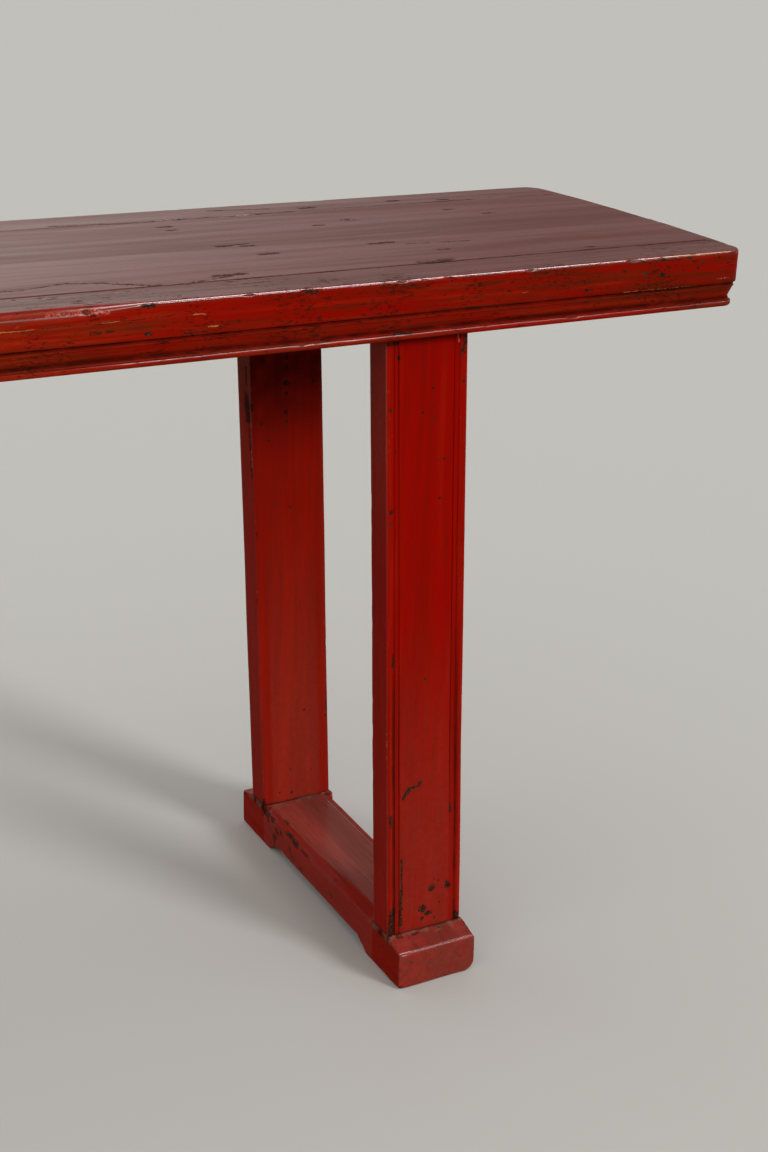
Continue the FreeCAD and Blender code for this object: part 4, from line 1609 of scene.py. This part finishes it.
    def leg_traces(self, points: Array, inner: float, top: float) -> dict[str, Array]:
        """Dirt and dust where the legs stand: both fade with the distance from a leg's outline.

        Args:
            points: The rail's points.
            inner: How far its inner face is from the middle of the table.
            top: The level of its top.

        Returns:
            The dirt and the dust at each point.
        """
        past_x = np.maximum(np.abs(points[..., 0]) - (inner + Leg.width), 0)
        depth = np.abs(points[..., 1])
        past_y = np.maximum(np.maximum(depth - self.leg_face, self.leg_back - depth), 0)
        distance = np.hypot(past_x, past_y)
        high = smooth_step(top - 0.012, top - 0.006, points[..., 2])
        patchy = smooth_step(0.5, 0.62, value_noise(points, (0.009, 0.005, 0.02), 97))
        rim = np.exp(-((distance - self.rim_distance) / self.rim_width) ** 2)
        dusty = 0.5 * rim + 0.45 * patchy * np.exp(-(distance / self.patch_reach) ** 2)
        return {"hollow": high * np.exp(-(distance / self.dirt_reach) ** 2), "dusty": high * dusty}

    @staticmethod
    def capped(points: Array, marks: dict[str, Array]) -> tuple[Array, dict[str, Array]]:
        """Fills the end faces with rings that shrink to their middles.

        Args:
            points: The rings.
            marks: Their marks.

        Returns:
            The rings and marks with the end faces' rings added.
        """
        scales = np.array([0.96, 0.9, 0.8, 0.65, 0.5, 0.35, 0.2, 0.08])[:, None]
        front_middle, rear_middle = points[0].mean(axis=0), points[-1].mean(axis=0)
        outward = front_middle + (points[0] - front_middle) * scales[::-1, :, None]
        inward = rear_middle + (points[-1] - rear_middle) * scales[:, :, None]
        fading = np.exp(-((1 - scales) / 0.04) ** 2)
        whole = {name: np.concatenate([fading[::-1] * value[0], value, fading * value[-1]])
                 for name, value in marks.items()}
        return np.concatenate([outward, points, inward]), whole


@dataclass
class Supports:
    """The two leg frames: four legs, two foot rails and the wedges in their tenons."""

    foot_top: float
    head: float
    leg_back: float
    leg_face: float

    @classmethod
    def from_frame(cls) -> "Supports":
        """Reads the places of the legs from the frame.

        Returns:
            The supports.
        """
        leg_low, leg_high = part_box("leg_rear_right")
        return cls(foot_top=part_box("foot_rail_right")[1].z, head=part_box("front_edge_rail")[0].z,
                   leg_back=leg_low.y, leg_face=leg_high.y)

    def build(self, finishes: "Finishes") -> None:
        """Makes and dresses the legs, the foot rails and the wedges.

        Args:
            finishes: The finishes of the table.
        """
        for side in Side:
            foot = FootRail(side, self.leg_back, self.leg_face)
            finish = finishes.foot(side)
            dress(foot.build(finish.marks), finish, f"foot_rail_{side.name.lower()}")
            for face in Face:
                finish = finishes.leg(side, face)
                leg = Leg(side, face).build(self.foot_top, self.head, finish.marks)
                dress(leg, finish, f"leg_{face.name.lower()}_{side.name.lower()}")
            dress(bpy.data.objects[f"foot_wedges_{side.name.lower()}"], finishes.wedge())


@dataclass(frozen=True)
class Finishes:
    """The finish of every piece, with its own marks, which lie on faces at these places."""

    front: float
    leg_front: float
    rear_leg_front: float
    top: float
    joint: float
    foot_inner: float
    foot_end: float
    # How far past its line a mark of the top can show
    reach: float = 0.009

    @classmethod
    def from_frame(cls) -> "Finishes":
        """Reads from the frame where the faces lie that carry marks.

        Returns:
            The finishes.
        """
        rail_low, rail_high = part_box("front_edge_rail")
        foot_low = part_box("foot_rail_right")[0]
        return cls(front=rail_low.y, leg_front=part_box("leg_front_right")[0].y,
                   rear_leg_front=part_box("leg_rear_right")[0].y, top=rail_high.z, joint=-rail_high.y,
                   foot_inner=foot_low.x, foot_end=foot_low.y)

    def edge_rail(self, face: Face) -> RedLacquer:
        """The finish of a moulded rail, browner and more chipped at the front.

        Args:
            face: Which rail.

        Returns:
            The finish.
        """
        if face is Face.REAR:
            return RedLacquer("lacquer_rear_rail", Grain.LENGTHWISE, self.top_marks(self.joint, 1.0),
                              self.knots(), flecks=0.5, glaze=0.7, fleck_share=0.15)
        marks = self.top_marks(-1.0, -self.joint) + self.front_marks()
        return RedLacquer("lacquer_front_rail", Grain.LENGTHWISE, marks, flecks=0.92, glaze=1.0,
                          hairlines=0.9, bareness=0.3, rubbing=0.2, fleck_share=0.3, fleck_scale=210.0,
                          edge_shine=1.0, grain_scale=150.0, red=Colour(146, 6, 0),
                          deep_red=Colour(96, 26, 8), ember=Colour(160, 44, 18))

    def front_marks(self) -> tuple[Mark, ...]:
        """Chips, creases and worn places of the front rail, from the middle to the right end.

        Returns:
            The marks.
        """
        y = self.front
        # How deep the rounded arris and the fillet under the slope lie
        arris, fillet = y + 0.001, y + 0.006
        # X and height of each chip's start and of its end, its width and its depth
        chips = (
            (0.484, 0.912, 0.496, 0.909, 0.0040, 0.0016), (0.657, 0.9135, 0.662, 0.909, 0.0026, 0.0012),
            (0.180, 0.9125, 0.192, 0.912, 0.0016, 0.0), (0.300, 0.912, 0.312, 0.9105, 0.0026, 0.0008),
            (0.303, 0.8822, 0.309, 0.8818, 0.0020, 0.0), (0.345, 0.8795, 0.372, 0.8790, 0.0012, 0.0),
            (0.118, 0.8590, 0.124, 0.8590, 0.0026, 0.0), (0.9208, 0.8972, 0.9248, 0.8968, 0.0018, 0.0003),
            (0.9441, 0.8942, 0.9481, 0.8942, 0.0022, 0.0003), (0.9763, 0.8967, 0.9763, 0.8967, 0.0020, 0.0),
            (0.9168, 0.9116, 0.9180, 0.9116, 0.0020, 0.0004),
            (0.9447, 0.9113, 0.9487, 0.9113, 0.0018, 0.0004),
            (0.9821, 0.9105, 0.9861, 0.9105, 0.0024, 0.0006), (1.0283, 0.9082, 1.0283, 0.9082, 0.0020, 0.0),
            (1.0426, 0.9013, 1.0446, 0.9013, 0.0018, 0.0), (0.9697, 0.8809, 0.9697, 0.8809, 0.0018, 0.0),
            (0.840, 0.8835, 0.846, 0.8835, 0.0020, 0.0), (0.9975, 0.8979, 0.9995, 0.8979, 0.0016, 0.0),
            (0.8920, 0.9021, 0.8935, 0.9021, 0.0018, 0.0), (0.9350, 0.9050, 0.9370, 0.9052, 0.0014, 0.0),
            (1.0050, 0.9055, 1.0050, 0.9035, 0.0015, 0.0), (1.0350, 0.8930, 1.0360, 0.8930, 0.0015, 0.0),
        )
        marks = [Mark((start, y, low), (end, y, high), width=width, depth=depth)
                 for start, low, end, high, width, depth in chips]
        # X of each worn streak's start and end, and its height
        streaks = (
            (0.132, 0.188, 0.8972), (0.256, 0.274, 0.8982), (0.350, 0.368, 0.8975), (0.372, 0.383, 0.8835),
        )
        marks += [Mark((start, y, z), (end, y, z), width=0.0009, ragged=1.4, wander=0.004, tone=Tone.BARE)
                  for start, end, z in streaks]
        marks += [
            Mark((0.12, y, 0.8975), (0.44, y, 0.8995), width=0.0006, ragged=1.2, wander=0.006),
            Mark((0.200, arris, 0.911), (0.262, arris, 0.909), width=0.0035, ragged=1.4, tone=Tone.RUBBED),
            Mark((0.486, y, 0.9135), (0.498, y, 0.9130), width=0.0012, tone=Tone.PALE),
            Mark((1.028, y, 0.8822), (1.046, y, 0.8827), width=0.0009, tone=Tone.RUBBED),
            Mark((0.966, arris, 0.9138), (1.042, arris, 0.9142), width=0.0012, ragged=2.0, tone=Tone.BARE),
            Mark((0.894, arris, 0.8768), (0.999, arris, 0.8762), width=0.0008, ragged=2.4, tone=Tone.BARE),
            Mark((0.880, fillet, 0.8567), (0.953, fillet, 0.8572), width=0.0014, ragged=2.4, tone=Tone.BARE),
            Mark((0.740, y, 0.8870), (0.762, y, 0.8880), width=0.0007, tone=Tone.PALE),
            Mark((0.594, fillet, 0.8532), (0.616, fillet, 0.8538), width=0.0028, ragged=1.6, wander=0.004),
        ]
        return tuple(marks)

    def knots(self) -> tuple[Knot, ...]:
        """The knots of the top.

        Returns:
            The knots.
        """
        return (
            Knot((0.703, 0.099, self.top), 0.018),
            Knot((0.604, 0.178, self.top), 0.009, (1.0, 1.3, 1.0)),
            Knot((-0.622, 0.047, self.top), 0.014),
        )

    def top_marks(self, low: float, high: float) -> tuple[Mark, ...]:
        """Spots, streaks and cracks of the top, which run across its board and both its rails.

        Args:
            low: How far to the front the piece reaches.
            high: How far to the rear it reaches.

        Returns:
            The marks that can reach the piece.
        """
        z = self.top
        # Place and width of each spot
        spots = (
            (0.469, 0.128, 0.0036), (0.469, 0.105, 0.0030), (0.652, 0.077, 0.0030), (0.725, -0.108, 0.0030),
            (0.862, 0.118, 0.0034), (0.899, 0.077, 0.0034), (0.899, -0.156, 0.0030), (0.821, 0.196, 0.0036),
            (0.889, 0.182, 0.0030), (0.522, -0.061, 0.0044), (0.518, -0.009, 0.0034),
            (0.492, -0.001, 0.0036), (0.686, -0.167, 0.0060), (0.700, -0.160, 0.0036),
            (0.668, -0.163, 0.0036), (0.690, 0.187, 0.0046), (-0.120, 0.084, 0.0030),
            (-0.310, 0.121, 0.0034), (-0.452, 0.022, 0.0036), (-0.524, -0.061, 0.0042),
            (-0.703, 0.088, 0.0034), (-0.781, -0.104, 0.0030), (-0.903, 0.047, 0.0032),
            (-0.640, 0.201, 0.0034),
        )
        marks = [Mark((x - 2 * width, y, z), (x + 2 * width, y, z), width=1.2 * width, ragged=1.8,
                      depth=0.0004)
                 for x, y, width in spots]
        # Start, end and width of each streak
        streaks = (
            ((0.658, -0.048), (0.690, -0.047), 0.0050), ((0.418, -0.147), (0.455, -0.148), 0.0055),
            ((0.482, 0.001), (0.522, 0.003), 0.0036), ((0.700, -0.064), (0.780, -0.072), 0.0022),
            ((0.560, 0.212), (0.640, 0.199), 0.0026), ((-0.605, -0.022), (-0.560, -0.019), 0.0040),
            ((-0.262, -0.110), (-0.205, -0.113), 0.0044),
        )
        marks += [Mark((*start, z), (*end, z), width=width, ragged=1.8, wander=0.006)
                  for start, end, width in streaks]
        # Two cracks, as the places that they run through
        crack = (
            (0.100, -0.146), (0.182, -0.141), (0.204, -0.139), (0.251, -0.127), (0.291, -0.137),
            (0.336, -0.165), (0.383, -0.167), (0.455, -0.146),
        )
        rear_crack = ((0.342, 0.180), (0.426, 0.167), (0.492, 0.168), (0.661, 0.170))
        for path in (crack, rear_crack):
            for start, end in zip(path, path[1:]):
                marks.append(Mark((*start, z), (*end, z), width=0.0026, ragged=2.4, wander=0.014,
                                  depth=0.0004))
        # Where the joints have opened: X of the start and the end, and which joint
        open_joints = ((0.432, 1.072, -self.joint), (0.05, 0.24, self.joint), (0.78, 0.93, self.joint))
        marks += [Mark((start, y, z), (end, y, z), width=0.0020, ragged=1.8, wander=0.012)
                  for start, end, y in open_joints]
        return tuple(mark for mark in marks
                     if max(mark.start[1], mark.end[1]) > low - self.reach
                     and min(mark.start[1], mark.end[1]) < high + self.reach)

    def board(self) -> RedLacquer:
        """The finish of the wide board, with its knots, dents and cracks.

        Returns:
            The finish.
        """
        marks = self.top_marks(-self.joint, self.joint)
        return RedLacquer("lacquer_board", Grain.LENGTHWISE, marks, self.knots(), flecks=0.35, glaze=0.6,
                          grain_scale=60.0, bareness=0.2, fleck_share=0.12, undercoat=Colour(66, 38, 30))

    def end_rail(self) -> RedLacquer:
        """The finish of the short rails under the ends."""
        return RedLacquer("lacquer_end_rail", Grain.CROSSWISE, glaze=0.6)

    def leg(self, side: Side, face: Face) -> RedLacquer:
        """The finish of a leg, with its marks where it has any of its own.

        Args:
            side: Which pair of legs.
            face: Which leg of the pair.

        Returns:
            The finish.
        """
        marks: tuple[Mark, ...] = ()
        if side is Side.RIGHT:
            marks = self.leg_marks() if face is Face.FRONT else self.rear_leg_marks()
        name = f"lacquer_leg_{face.name.lower()}_{side.name.lower()}"
        red, deep_red = Colour(154, 5, 0), Colour(138, 9, 3)
        if face is Face.REAR:
            red, deep_red = Colour(150, 17, 4), Colour(134, 18, 7)
        return RedLacquer(name, Grain.UPRIGHT, marks, flecks=0.25, glaze=0.2, hairlines=0.35,
                          bareness=0.28, rubbing=0.25, edge_shine=0.3, grain_scale=110.0, red=red,
                          deep_red=deep_red, ember=Colour(158, 24, 8), dust_grey=Colour(150, 98, 78))

    def leg_marks(self) -> tuple[Mark, ...]:
        """Chips, gashes and flaked lines of the front right leg.

        Returns:
            The marks.
        """
        y = self.leg_front
        # X, height and width of each chip
        chips = (
            (0.6725, 0.0895, 0.0068), (0.6800, 0.0805, 0.0048), (0.6850, 0.0800, 0.0026),
            (0.6840, 0.1165, 0.0058), (0.7085, 0.1145, 0.0056), (0.7060, 0.1200, 0.0030),
            (0.6945, 0.1255, 0.0018), (0.6878, 0.1291, 0.0014), (0.6997, 0.1138, 0.0014),
            (0.6969, 0.0928, 0.0014), (0.6723, 0.0749, 0.0032), (0.6900, 0.0720, 0.0020),
            (0.6635, 0.4137, 0.0026), (0.6092, 0.6363, 0.0032), (0.6084, 0.6211, 0.0022),
            (0.6731, 0.6450, 0.0024), (0.6468, 0.7529, 0.0020), (0.6586, 0.7801, 0.0018),
            (0.6043, 0.7594, 0.0030), (0.6994, 0.7841, 0.0026), (0.6630, 0.7420, 0.0024),
            (0.6125, 0.8200, 0.0030),
        )
        marks = [Mark((x, y, z), width=width, ragged=0.7, depth=0.0005) for x, z, width in chips]
        # X and height of each gash's start and of its end, and its width
        lines = (
            ((0.6383, 0.2572), (0.6458, 0.2682), 0.0036), ((0.6458, 0.2682), (0.6604, 0.2695), 0.0022),
            ((0.6600, 0.2700), (0.6615, 0.2745), 0.0036), ((0.7064, 0.2339), (0.7069, 0.2223), 0.0024),
            ((0.6180, 0.4553), (0.6185, 0.4394), 0.0020), ((0.6679, 0.6930), (0.6829, 0.6942), 0.0014),
            ((0.6290, 0.0980), (0.6272, 0.0620), 0.0056), ((0.7216, 0.0700), (0.7225, 0.0610), 0.0046),
            ((0.6392, 0.1694), (0.6402, 0.1270), 0.0018), ((0.6400, 0.1250), (0.6396, 0.1026), 0.0028),
            ((0.6403, 0.0980), (0.6403, 0.0730), 0.0028), ((0.6210, 0.2350), (0.6215, 0.2200), 0.0020),
        )
        marks += [Mark((start[0], y, start[1]), (end[0], y, end[1]), width=width, ragged=1.0, wander=0.003)
                  for start, end, width in lines]
        marks += [
            Mark((0.7170, y, 0.1120), (0.7195, y, 0.0735), width=0.0010, tone=Tone.BARE),
            Mark((0.6890, y, 0.8410), (0.6905, y, 0.8310), width=0.0013, ragged=1.4, tone=Tone.BARE),
            Mark((0.5985, y, 0.8365), (0.6110, y, 0.8360), width=0.0022, ragged=1.8),
            Mark((0.6990, y, 0.8420), (0.6960, y, 0.8180), width=0.0030, ragged=1.8),
            Mark((0.6229, y, 0.2820), width=0.0013, ragged=0.2, tone=Tone.PALE),
        ]
        return tuple(marks)

    def rear_leg_marks(self) -> tuple[Mark, ...]:
        """The gash and the row of dents of the rear right leg.

        Returns:
            The marks.
        """
        y = self.rear_leg_front
        # The gash runs down the left side, so its places lie behind the outer face
        marks = [
            Mark((0.6000, y + 0.012, 0.712), (0.6005, y + 0.012, 0.690), width=0.0030, depth=0.0006),
            Mark((0.6010, y + 0.014, 0.672), (0.6015, y + 0.011, 0.642), width=0.0080, depth=0.0016),
            Mark((0.6022, y + 0.008, 0.632), (0.6034, y + 0.006, 0.600), width=0.0034, ragged=1.6,
                 depth=0.0006),
            Mark((0.6040, y + 0.005, 0.590), (0.6045, y + 0.005, 0.560), width=0.0026, ragged=1.8,
                 depth=0.0004),
            Mark((0.6048, y + 0.003, 0.540), (0.6060, y + 0.003, 0.500), width=0.0014, ragged=2.4),
            Mark((0.6036, y + 0.003, 0.600), (0.6044, y + 0.003, 0.574), width=0.0012, ragged=2.4,
                 tone=Tone.PALE),
            Mark((0.6215, y, 0.0665), (0.6235, y, 0.0620), width=0.0060),
        ]
        # X, height and width of each dent
        dents = (
            (0.6539, 0.7230, 0.0036), (0.6540, 0.7104, 0.0036), (0.6542, 0.6883, 0.0056),
            (0.6543, 0.6744, 0.0036), (0.6545, 0.6488, 0.0040), (0.6546, 0.6337, 0.0030),
            (0.6173, 0.6360, 0.0026), (0.6287, 0.6110, 0.0026), (0.6930, 0.6873, 0.0026),
            (0.6373, 0.5207, 0.0022), (0.6615, 0.5132, 0.0026), (0.6859, 0.2018, 0.0022),
            (0.6652, 0.1107, 0.0022), (0.7202, 0.1871, 0.0020), (0.6480, 0.0760, 0.0024),
            (0.6680, 0.0720, 0.0030),
        )
        marks += [Mark((x, y, z), width=width, depth=0.0004) for x, z, width in dents]
        return tuple(marks)

    def foot(self, side: Side) -> RedLacquer:
        """The finish of a foot rail, with the chips along the worn bevel of the right one.

        Args:
            side: Which foot rail.

        Returns:
            The finish.
        """
        marks = self.foot_marks() if side is Side.RIGHT else ()
        # The pale faded red paints light into the top between the legs, which the legs shade
        return RedLacquer(f"lacquer_foot_{side.name.lower()}", Grain.CROSSWISE, marks, flecks=0.6,
                          fading=0.7, dust=0.18, glaze=0.8, top_shine=0.7, fleck_share=0.3, bareness=0.2,
                          rubbing=0.2, edge_shine=0.35, red=Colour(150, 16, 8),
                          deep_red=Colour(126, 24, 12), undercoat=Colour(64, 30, 20),
                          faded=Colour(162, 66, 56))

    def foot_marks(self) -> tuple[Mark, ...]:
        """Chips, pits and stains of the right foot rail, on its inner side, its bevel and its front end.

        Returns:
            The marks.
        """
        inner = self.foot_inner
        # Middle of each chip, half its length, its width and its depth
        chips = (
            (0.6235, 0.085, 0.056, 0.0060, 0.0042, 0.0012), (0.6230, 0.066, 0.0530, 0.0070, 0.0050, 0.0016),
            (0.6235, 0.024, 0.0535, 0.0030, 0.0030, 0.0012), (0.6330, 0.113, 0.0590, 0.0050, 0.0026, 0.0),
            (0.6225, 0.131, 0.0300, 0.0030, 0.0040, 0.0), (0.6225, 0.134, 0.0160, 0.0020, 0.0020, 0.0),
            (0.6280, -0.004, 0.0570, 0.0030, 0.0022, 0.0008),
            (0.6250, 0.162, 0.0520, 0.0060, 0.0050, 0.0014), (0.6235, 0.140, 0.0500, 0.0040, 0.0026, 0.0010),
        )
        marks = [Mark((x, y - reach, z), (x, y + reach, z), width=width, ragged=1.0, depth=depth)
                 for x, y, z, reach, width, depth in chips]
        # Depth, height and width of each stain on the inner side
        stains = (
            (0.1265, 0.0436, 0.0042), (0.1362, 0.0278, 0.0036), (0.1117, 0.0474, 0.0036),
            (0.0729, 0.0278, 0.0030), (0.0464, 0.0242, 0.0028), (0.0826, 0.0372, 0.0032),
            (-0.0472, 0.0356, 0.0022), (0.1588, 0.0495, 0.0036),
        )
        marks += [Mark((inner, y, z), (inner, y - 0.004, z - 0.004), width=width, ragged=1.8)
                  for y, z, width in stains]
        # X, height and width of each speck on the front end
        specks = (
            (0.6260, 0.0030, 0.0036), (0.6620, 0.0070, 0.0012), (0.6760, 0.0080, 0.0014),
            (0.6960, 0.0060, 0.0016), (0.7040, 0.0070, 0.0012), (0.6400, 0.0370, 0.0016),
            (0.6790, 0.0500, 0.0016), (0.6830, 0.0400, 0.0010), (0.7120, 0.0260, 0.0014),
        )
        marks += [Mark((x, self.foot_end, z), width=width) for x, z, width in specks]
        marks += [
            Mark((inner, 0.110, 0.0185), (inner, 0.096, 0.0170), width=0.0020, tone=Tone.BARE),
            Mark((inner, 0.136, 0.0150), width=0.0014, tone=Tone.PALE),
            Mark((0.6230, -0.205, 0.0600), (0.6350, -0.215, 0.0612), width=0.0012, ragged=1.6,
                 tone=Tone.BARE),
            Mark((0.6235, -0.213, 0.0600), (0.6300, -0.226, 0.0590), width=0.0016, ragged=1.6),
            Mark((0.6560, -0.2165, 0.0600), (0.6630, -0.2160, 0.0600), width=0.0028, ragged=1.2),
            Mark((0.6940, -0.2155, 0.0600), (0.6980, -0.2155, 0.0600), width=0.0022, ragged=1.2),
            Mark((0.6350, -0.2140, 0.0600), (0.6400, -0.2160, 0.0600), width=0.0030, ragged=1.2),
        ]
        return tuple(marks)

    def batten(self) -> BareWood:
        """The wood of the battens."""
        return BareWood("bare_batten", Grain.CROSSWISE)

    def wedge(self) -> BareWood:
        """The wood of the wedges."""
        return BareWood("bare_wedge", Grain.UPRIGHT)


@dataclass(frozen=True)
class Studio:
    """A plain pale floor under a soft key light from the front right and even air.

    Gloss sees a pale panel at the far left, which ends above and to the right, and a second lamp.
    """

    pale: Colour = Colour(226, 225, 222)
    floor: Colour = Colour(206, 204, 200)
    floor_bounce: Colour = Colour(124, 112, 102)
    air: float = 0.85
    key_level: float = 0.53
    key_angle: float = 0.27
    key_direction: Place = (0.40, -0.80, 0.42)
    glint_level: float = 1.5
    glint_angle: float = 0.5
    glint_direction: Place = (0.43, -0.10, 0.87)
    panel_direction: Place = (-0.5, 0.866, 0.0)
    panel_level: float = 1.15
    dim_level: float = 0.30
    left_light: float = 0.30
    floor_reach: float = 60.0

    def build(self) -> None:
        """Makes the air, the floor and the lamps."""
        self.build_air()
        self.build_floor()
        self.build_lamp("key", self.key_level, self.key_angle, self.key_direction)
        glint = self.build_lamp("glint", self.glint_level, self.glint_angle, self.glint_direction)
        glint.visible_diffuse = False

    @staticmethod
    def build_lamp(name: str, level: float, angle: float, direction: Place) -> bpy.types.Object:
        """Makes a distant lamp.

        Args:
            name: Its name.
            level: How bright a white surface that faces it becomes.
            angle: How wide it looks.
            direction: The way to it.

        Returns:
            The lamp.
        """
        data = bpy.data.lights.new(name, "SUN")
        data.energy = level * math.pi
        data.angle = angle
        lamp = bpy.data.objects.new(name, data)
        lamp.rotation_mode = "QUATERNION"
        lamp.rotation_quaternion = Vector(direction).to_track_quat("Z", "Y")
        bpy.context.scene.collection.objects.link(lamp)
        return lamp

    def build_air(self) -> None:
        """Makes the world: plain pale for the camera, even for light, and a soft panel for gloss."""
        world = bpy.data.worlds.new("studio_air")
        bpy.context.scene.world = world
        world.use_nodes = True
        world.node_tree.nodes.clear()
        graph = Graph(world.node_tree)
        direction = graph.add("TexCoord").outputs["Generated"]
        beside = graph.step(graph.number("DOT_PRODUCT", direction, self.panel_direction), 0.40, 0.85)
        place = graph.add("SeparateXYZ", {0: direction}).outputs
        below = graph.step(place["Z"], 0.5, 0.64, 1.0, 0.0)
        panel = graph.product(beside, below, self.panel_level - self.dim_level)
        path = graph.add("LightPath").outputs
        even = graph.math("ADD", self.air, graph.product(place["X"], -self.left_light))
        gloss = graph.math("ADD", panel, self.dim_level)
        shown = graph.highest(path["Is Camera Ray"], path["Is Transmission Ray"])
        strength = graph.blend(path["Is Glossy Ray"], even, gloss)
        strength = graph.blend(shown, strength, 1.0)
        air = graph.add("Background", {"Color": self.pale, "Strength": strength})
        graph.add("OutputWorld", {"Surface": air.outputs[0]})

    def build_floor(self) -> None:
        """Makes the floor: pale where it is seen, and darker in the light that it throws back."""
        data = bpy.data.meshes.new("studio_floor")
        reach = self.floor_reach
        data.from_pydata([(-reach, -reach, 0), (reach, -reach, 0), (reach, reach, 0), (-reach, reach, 0)], [],
                         [(0, 1, 2, 3)])
        floor = bpy.data.objects.new("studio_floor", data)
        bpy.context.scene.collection.objects.link(floor)
        graph, material = new_material("studio_floor")
        path = graph.add("LightPath").outputs
        seen = graph.highest(path["Is Camera Ray"], path["Is Glossy Ray"], path["Is Transmission Ray"])
        colour = graph.mix(seen, self.floor_bounce, self.floor)
        shader = graph.add("BsdfPrincipled", {"Base Color": colour, "Roughness": 0.9,
                                              "Specular IOR Level": 0.1})
        graph.add("OutputMaterial", {"Surface": shader.outputs[0]})
        data.materials.append(material)


@dataclass(frozen=True)
class Viewpoint:
    """Where the picture was taken from, as worked out from the table's own edges."""

    place: Place = (-0.3442, -1.9409, 1.3383)
    yaw: float = 0.5003
    pitch: float = 0.3762
    roll: float = -0.0292
    lens: float = 56.71
    sensor: float = 36.0

    def build(self) -> None:
        """Makes the camera and gives it to the scene."""
        ahead = Vector((math.sin(self.yaw) * math.cos(self.pitch), math.cos(self.yaw) * math.cos(self.pitch),
                        -math.sin(self.pitch)))
        level = Vector((math.cos(self.yaw), -math.sin(self.yaw), 0.0))
        down = ahead.cross(level)
        right = level * math.cos(self.roll) + down * math.sin(self.roll)
        up = level * math.sin(self.roll) - down * math.cos(self.roll)
        data = bpy.data.cameras.new("viewpoint")
        data.lens = self.lens
        data.sensor_width = self.sensor
        data.clip_start = 0.02
        camera = bpy.data.objects.new("viewpoint", data)
        turn = Matrix((right, up, -ahead)).transposed().to_4x4()
        camera.matrix_world = Matrix.Translation(self.place) @ turn
        bpy.context.scene.collection.objects.link(camera)
        bpy.context.scene.camera = camera


def main() -> None:
    """Builds the table round its frame."""
    logging.basicConfig(level=logging.INFO, format="%(name)s: %(message)s")
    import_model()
    bpy.context.scene.view_settings.view_transform = "Standard"
    finishes = Finishes.from_frame()
    TableTop.from_frame().build(finishes)
    Supports.from_frame().build(finishes)
    Studio().build()
    Viewpoint().build()


if __name__ == "__main__":
    main()
